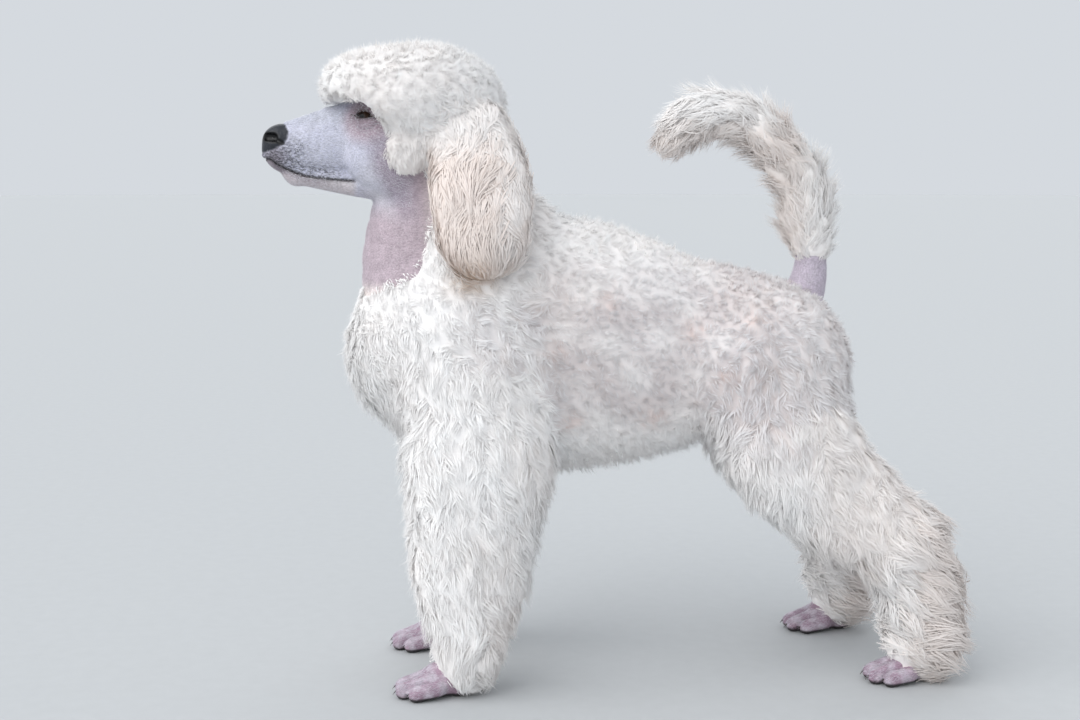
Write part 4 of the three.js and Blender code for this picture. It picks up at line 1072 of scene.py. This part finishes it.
def tufts_of(k, segs):
    n = len(k)
    r0, r3 = R[k], tip[k]
    L = np.linalg.norm(r3 - r0, axis=1)[:, None]
    p1 = r0 + unit(N[k] * 0.55 + bent[k] * 0.75) * L * 0.36
    p2 = r3 - tip_way[k] * L * 0.36
    t = (np.linspace(0, 1, segs + 1))[None, :, None]
    line = (1 - t) ** 3 * r0[:, None] + 3 * (1 - t) ** 2 * t * p1[:, None] + 3 * (1 - t) * t**2 * p2[:, None] + t**3 * r3[:, None]
    b = unit(np.cross(tip_way[k], N[k] + 0.01))
    m = unit(np.cross(b, tip_way[k]))
    ph = phase[lock[k]][:, None, None] + rng.normal(0, 0.35, (n, 1, 1))
    w = t * (1 - 0.25 * t) * (num["curl"][k] * scale[k])[:, None, None]
    turn = 2 * math.pi * num["turns"][k][:, None, None] * t
    line = line + w * (np.sin(turn + ph) * b[:, None] + 0.4 * np.cos(turn + ph) * m[:, None])
    q = t[0, :-1, 0]
    shape = np.interp(q, [0, 0.35, 0.65, 0.85, 1], [0.8, 1.15, 1.0, 0.65, 0.3])
    radius = (num["width"][k] * rng.uniform(0.7, 1.25, n) * np.where(loose[k], 0.75, 1.0))[:, None] * 0.5 * shape[None]
    tone_tip, tone_root = coat_tone(T[k], lead[k])
    light = (1 + np.where(region[k] == "body", 0.036, 0.020) * shade[lock[k]] + 0.018 * rng.normal(size=n))[:, None, None]
    # each tuft runs from its root colour to its tip colour: the darker root is partly the undercoat's own colour,
    # partly painted shade deep in the coat
    u = np.concatenate([np.repeat(q, 3), [1.0]])
    u = smoothstep(0.0, 0.7, u)[None, :, None]
    colour = np.clip((tone_root[:, None] * (1 - u) + tone_tip[:, None] * u) * light, 0, 0.965)
    return tuft_part(line, radius, 0.30, N[k], Ruv[k], colour, SOFTNESS, seeds[lock[k]], bent[k], 3.2 * num["dome"][k], num["lock"][k])


def tufts_for(pick, name, segs, slot):
    o = tuft_mesh(name, [tufts_of(np.flatnonzero(pick & ~plain), segs), tufts_of(np.flatnonzero(pick & plain), 1)])
    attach(o, "root")
    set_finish(o, slot)
    print(name, int(pick.sum()), "tufts", triangles(o), "triangles")
    return o


left = T[:, 1] < 0
plain = rng.random(count) < num["plain"]
coat = []
for part, segs, slot in (("topknot", 2, "white_coat"), ("neck", 2, "white_coat"), ("body", 2, "white_coat"), ("foreleg", 2, "white_coat"), ("hindleg", 2, "white_coat"), ("ear", 3, "cream_coat")):
    for side, pick in (("left", left), ("right", ~left)):
        coat.append(tufts_for((region == part) & pick & clear, f"coat_{part}_{side}", segs, slot))
coat.append(tufts_for(region == "tail", "coat_tail", 2, "white_coat"))


# ---- the fleece: the closed wool that the tufts come out of, in the same locks --------------------
def fleece():
    P, F = low_poly(lambda Q: field(Q) + 4.0, 5.4, 16.0)
    d = field(P)
    N = unit(gradient(field, P, d))
    outer = P - N * d[:, None]
    lead, names, num, along = hair(outer, N)
    thick = field(outer, coat=False)
    scale = np.clip(thick / 16, 0.35, 1.2)
    lock, _, high = in_lock(outer, N, names, num, along)
    hairy = smoothstep(4.0, 8.0, thick)
    P = outer + N * ((high * scale - num["deep"] * scale) * hairy - 6.0 * (1 - hairy))[:, None]
    P[:, 2] = np.maximum(P[:, 2], 0.8)
    tip, root = coat_tone(outer, lead)
    # the fleece has the roots' colour, deepest in the valleys between the locks' domes: partly the undercoat's own
    # warmer colour, partly painted shade in these hollows
    valley_shade = smoothstep(0.5, -3.0, high)
    tone = mixed(root * 0.6 + tip * 0.4, root, valley_shade)
    o = mesh_object("coat_fleece", P, [F])
    bpy.context.view_layer.objects.active = o
    o.select_set(True)
    o.data.uv_layers.new(name="OFBake")
    bpy.ops.object.mode_set(mode="EDIT")
    bpy.ops.mesh.select_all(action="SELECT")
    bpy.ops.uv.smart_project(angle_limit=math.radians(66), island_margin=0.002)
    bpy.ops.object.mode_set(mode="OBJECT")
    o.select_set(False)
    paint(o, np.clip(tone, 0, 0.965))
    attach(o, "root")
    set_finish(o, "white_coat")
    print("fleece", triangles(o), "triangles")
    return o


# ---- stubble: the clipped hair of the face, throat, feet and tail root ------------------------------
def stubble(name, pick_faces, per, length, width, way, tone, dark):
    """Short straight hairs that lie back over the bare skin."""
    F = skin_F[pick_faces]
    P = spread(skin_P, F, per * (1.0))
    d = skin_field(P)
    g = gradient(skin_field, P, d)
    P, N = P - unit(g) * d[:, None], unit(g)
    keep = dark(P) > rng.random(len(P))
    P, N = P[keep], N[keep]
    n = len(P)
    along = unit(way(P) + rng.normal(0, 0.28, (n, 3)))
    along = unit(along - N * (along * N).sum(1, keepdims=True))
    size = length * rng.uniform(0.7, 1.3, n)
    low = P - N * 0.35
    end = P + along * (size * 0.95)[:, None] + N * (size * 0.16 + 0.15)[:, None]
    drop = skin_field(end)  # a hair on a hollow form stays above it
    end += N * np.clip(0.35 - drop, 0, 1.5)[:, None]
    end[:, 2] = np.maximum(end[:, 2], 0.6)
    line = np.stack([low, end], 1)
    radius = (width * rng.uniform(0.7, 1.3, n))[:, None] * 0.5
    colour = np.repeat((tone(P) * rng.uniform(0.86, 1.08, (n, 1)))[:, None], 4, 1)
    _, _, uv = on_bare(P)
    o = tuft_mesh(name, [tuft_part(line, radius, 0.45, N, uv, np.clip(colour, 0, 0.95), 0.8, P, along, np.zeros(n), np.ones(n))])
    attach(o, "root")
    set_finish(o, "white_coat")
    print(name, n, "hairs", triangles(o), "triangles")
    return o


mid_face = skin_P[skin_F].mean(1)
coat_there = field(mid_face)
fx, fy, fz = mid_face[:, 0], np.abs(mid_face[:, 1]), mid_face[:, 2]
open_skin = coat_there > -2.5
ma, mb, mc, mr = eye_frame(mid_face)
off_nose = on_nose[skin_F].mean(1) < 0.05
face_faces = open_skin & off_nose & (fz > 470) & (fx < -205) & (mr > 12.8)
throat_faces = open_skin & (fz > 385) & (fz <= 472) & (fx < -170)
root_faces = open_skin & (fz > 372) & (fz < 440) & (fx > 160)
foot_faces = open_skin & (fz > 5.5) & (fz < 62)


def under_nose(P):
    return bell(np.hypot(P[:, 0] + 335, (P[:, 2] - 512) / 1.1), 13)


def face_hair(P):
    white = np.array([[0.74, 0.74, 0.79]])
    pale = mixed(np.repeat(white, len(P), 0), np.array([[0.80, 0.81, 0.86]]), smoothstep(-250, -290, P[:, 0]))
    return mixed(pale, np.array([[0.36, 0.35, 0.39]]), 0.85 * under_nose(P))


coat.append(stubble("coat_face", face_faces, 0.72, 2.6, 0.42, lambda P: np.stack([np.ones(len(P)), 0 * P[:, 1], -0.35 * np.ones(len(P))], 1), face_hair, lambda P: (1 - 0.35 * speckled(P)) * (1 - 0.65 * under_nose(P))))
coat.append(stubble("coat_throat", throat_faces, 0.26, 2.6, 0.42, lambda P: np.stack([0.2 * np.ones(len(P)), 0 * P[:, 1], -np.ones(len(P))], 1), lambda P: np.repeat(np.array([[0.72, 0.67, 0.71]]), len(P), 0), lambda P: np.ones(len(P))))
coat.append(stubble("coat_tail_root", root_faces, 0.35, 2.6, 0.42, lambda P: np.stack([0 * P[:, 0], 0 * P[:, 1], np.ones(len(P))], 1), lambda P: np.repeat(np.array([[0.74, 0.71, 0.76]]), len(P), 0), lambda P: np.ones(len(P))))
coat.append(stubble("coat_feet", foot_faces, 0.38, 4.2, 0.50, lambda P: np.stack([-np.ones(len(P)), 0 * P[:, 1], -0.45 * np.ones(len(P))], 1), lambda P: np.repeat(np.array([[0.60, 0.56, 0.64]]), len(P), 0), lambda P: smoothstep(4, 12, P[:, 2])))
coat.append(fleece())
print("coat", sum(map(triangles, coat)), "triangles")


# ---- materials ----------------------------------------------------------------------------------
class Nodes:
    def __init__(self, name):
        self.m = bpy.data.materials.new(name)
        self.m.use_nodes = True
        self.t = self.m.node_tree
        self.t.nodes.clear()
        self.out = self.t.nodes.new("ShaderNodeOutputMaterial")
        self.b = self.t.nodes.new("ShaderNodeBsdfPrincipled")
        self.t.links.new(self.b.outputs[0], self.out.inputs["Surface"])
        self.place = self.t.nodes.new("ShaderNodeTexCoord").outputs["Object"]

    def node(self, kind, **values):
        n = self.t.nodes.new("ShaderNode" + kind)
        for k, v in values.items():
            if hasattr(n, k):
                setattr(n, k, v)
            else:
                n.inputs[k].default_value = v
        return n

    def link(self, a, b):
        self.t.links.new(a, b)

    def tone(self):
        return self.node("Attribute", attribute_name="tone").outputs["Color"]

    def noise(self, scale, detail=3.0, rough=0.55, squash=None):
        n = self.node("TexNoise", Scale=scale, Detail=detail, Roughness=rough)
        if squash:
            v = self.node("Mapping", Scale=squash)
            self.link(self.place, v.inputs["Vector"])
            self.link(v.outputs[0], n.inputs["Vector"])
        else:
            self.link(self.place, n.inputs["Vector"])
        return n.outputs["Fac"]

    def ranged(self, value, a, b, c, d):
        n = self.node("MapRange")
        for k, v in zip(("From Min", "From Max", "To Min", "To Max"), (a, b, c, d)):
            n.inputs[k].default_value = v
        self.link(value, n.inputs["Value"])
        return n.outputs["Result"]

    def times(self, colour, factor):
        n = self.node("VectorMath", operation="SCALE")
        self.link(colour, n.inputs[0])
        self.link(factor, n.inputs["Scale"])
        return n.outputs[0]

    def bump(self, height, strength, distance, under=None):
        n = self.node("Bump", Strength=strength, Distance=distance)
        self.link(height, n.inputs["Height"])
        if under:
            self.link(under, n.inputs["Normal"])
        return n.outputs[0]

    def set(self, **values):
        for k, v in values.items():
            self.b.inputs[k.replace("_", " ")].default_value = v


def coat_material(name, warmth):
    s = Nodes(name)
    patch = s.ranged(s.noise(38, 2.0), 0.3, 0.7, 0.965, 1.03)
    s.link(s.times(s.tone(), patch), s.b.inputs["Base Color"])
    s.set(Roughness=0.72, Specular_IOR_Level=0.18, Sheen_Weight=0.12, Sheen_Roughness=0.5, Sheen_Tint=(1.0, warmth, warmth - 0.04, 1.0))
    return s.m


def skin_material():
    s = Nodes("skin")
    mottle = s.ranged(s.noise(120, 4.0), 0.3, 0.7, 0.86, 1.12)
    hairs = s.noise(900, 2.0, 0.6, (0.35, 1.0, 1.0))  # fine hairs lying back along the face
    speck = s.ranged(hairs, 0.35, 0.65, 0.80, 1.18)
    colour = s.times(s.times(s.tone(), mottle), speck)
    dots = s.ranged(s.noise(560, 2.5, 0.6, (0.55, 1.0, 1.0)), 0.42, 0.60, 0.36, 1.30)  # dark spots between the white bristles
    spots = s.node("MapRange")
    s.link(s.node("Attribute", attribute_name="bristle").outputs["Fac"], spots.inputs["Value"])
    spots.inputs["To Min"].default_value = 1.0
    s.link(dots, spots.inputs["To Max"])
    colour = s.times(colour, spots.outputs["Result"])
    s.link(colour, s.b.inputs["Base Color"])
    wet = s.node("Attribute", attribute_name="leather").outputs["Fac"]
    rough = s.ranged(wet, 0.0, 1.0, 0.62, 0.30)
    s.link(rough, s.b.inputs["Roughness"])
    pebble = s.node("TexVoronoi", Scale=820.0, feature="SMOOTH_F1")
    s.link(s.place, pebble.inputs["Vector"])
    grain = s.node("Math", operation="MULTIPLY")
    s.link(pebble.outputs["Distance"], grain.inputs[0])
    s.link(wet, grain.inputs[1])
    first = s.bump(grain.outputs[0], 0.35, 0.0005)
    stub = s.node("Math", operation="MULTIPLY")
    s.link(hairs, stub.inputs[0])
    s.link(s.ranged(wet, 0.0, 1.0, 1.0, 0.0), stub.inputs[1])
    second = s.bump(stub.outputs[0], 0.55, 0.0007, first)
    s.link(s.bump(s.noise(170, 3.0), 0.25, 0.0012, second), s.b.inputs["Normal"])
    s.set(Specular_IOR_Level=0.34, Sheen_Weight=0.08, Sheen_Roughness=0.4)
    return s.m


def eye_material():
    s = Nodes("eye")
    fleck = s.ranged(s.noise(900, 2.0), 0.3, 0.7, 0.7, 1.3)
    s.link(s.times(s.tone(), fleck), s.b.inputs["Base Color"])
    s.set(Roughness=0.16, Specular_IOR_Level=0.12, Coat_Weight=0.07, Coat_Roughness=0.03)
    return s.m


def claw_material():
    s = Nodes("claw")
    streak = s.noise(500, 3.0, 0.6, (0.25, 1.0, 1.0))
    ramp = s.node("ValToRGB")
    ramp.color_ramp.elements[0].color = (0.018, 0.014, 0.014, 1)
    ramp.color_ramp.elements[1].color = (0.10, 0.075, 0.07, 1)
    ramp.color_ramp.elements[0].position, ramp.color_ramp.elements[1].position = 0.35, 0.8
    s.link(streak, ramp.inputs["Fac"])
    s.link(ramp.outputs["Color"], s.b.inputs["Base Color"])
    s.link(s.bump(streak, 0.3, 0.0004), s.b.inputs["Normal"])
    s.set(Roughness=0.38, Specular_IOR_Level=0.5)
    return s.m


def give(o, material):
    o.data.materials.clear()
    o.data.materials.append(material)


white, cream = coat_material("white_coat", 0.97), coat_material("cream_coat", 0.93)
for o in coat:
    give(o, cream if o["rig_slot"] == "cream_coat" else white)
give(skin, skin_material())
eye_look, claw_look = eye_material(), claw_material()
for side in ("left", "right"):
    give(bpy.data.objects["eyeball_" + side], eye_look)
for o in claws:
    give(o, claw_look)
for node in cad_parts.values():  # the solids under the skin are hidden, and still get the coat's look
    give(node, white)

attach(skin, "root")
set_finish(skin, "bare_skin")
flesh = [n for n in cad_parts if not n.startswith(("claw_", "eye_"))]
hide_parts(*flesh)

# ---- floor, light and camera --------------------------------------------------------------------
def disc(name, radius, around=96):
    t = np.arange(around) * 2 * np.pi / around
    P = np.stack([np.cos(t) * radius, np.sin(t) * radius, np.zeros(around)], 1)
    o = mesh_object(name, P - SHIFT, [np.arange(around)[None]], smooth=False)
    return o


floor = disc("floor", 40000)
s = Nodes("floor")
s.link(s.times(s.node("RGB").outputs[0], s.ranged(s.noise(60.0, 3.0), 0.3, 0.7, 0.985, 1.015)), s.b.inputs["Base Color"])
next(n for n in s.t.nodes if n.type == "RGB").outputs[0].default_value = (0.50, 0.515, 0.525, 1)
s.set(Roughness=0.85, Specular_IOR_Level=0.2)
give(floor, s.m)
floor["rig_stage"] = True

world = bpy.data.worlds.new("studio")
bpy.context.scene.world = world
world.use_nodes = True
back = world.node_tree.nodes["Background"]
back.inputs["Color"].default_value = (0.90, 0.945, 1.0, 1)
back.inputs["Strength"].default_value = 0.74


def sun(name, towards, strength, angle, colour):
    data = bpy.data.lights.new(name, "SUN")
    data.energy, data.angle, data.color = strength, math.radians(angle), colour
    o = bpy.data.objects.new(name, data)
    bpy.context.scene.collection.objects.link(o)
    o.rotation_mode = "QUATERNION"
    o.rotation_quaternion = Vector(towards).to_track_quat("-Z", "Y")
    return o


sun("key", (0.82, 0.50, -0.84), 1.85, 70, (1.0, 0.99, 0.98))
sun("fill", (0.25, 0.95, 0.0), 0.72, 100, (1.0, 0.99, 0.98))
sun("back", (-0.20, -0.90, -0.50), 0.9, 80, (0.97, 0.985, 1.0))

view = bpy.context.scene.view_settings
view.view_transform, view.look, view.exposure, view.gamma = "Standard", "None", 0.0, 1.0

camera = bpy.data.objects.new("camera", bpy.data.cameras.new("camera"))
bpy.context.scene.collection.objects.link(camera)
camera.data.lens, camera.data.sensor_width = 50, 36
camera.data.clip_start, camera.data.clip_end = 0.05, 200
camera.location = (np.array([-258.44, -1477.72, 497.8]) + SHIFT) / 1000
camera.rotation_mode = "QUATERNION"
camera.rotation_quaternion = Vector((0.121, 0.9851, -0.1219)).to_track_quat("-Z", "Y")
bpy.context.scene.camera = camera

low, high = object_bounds()
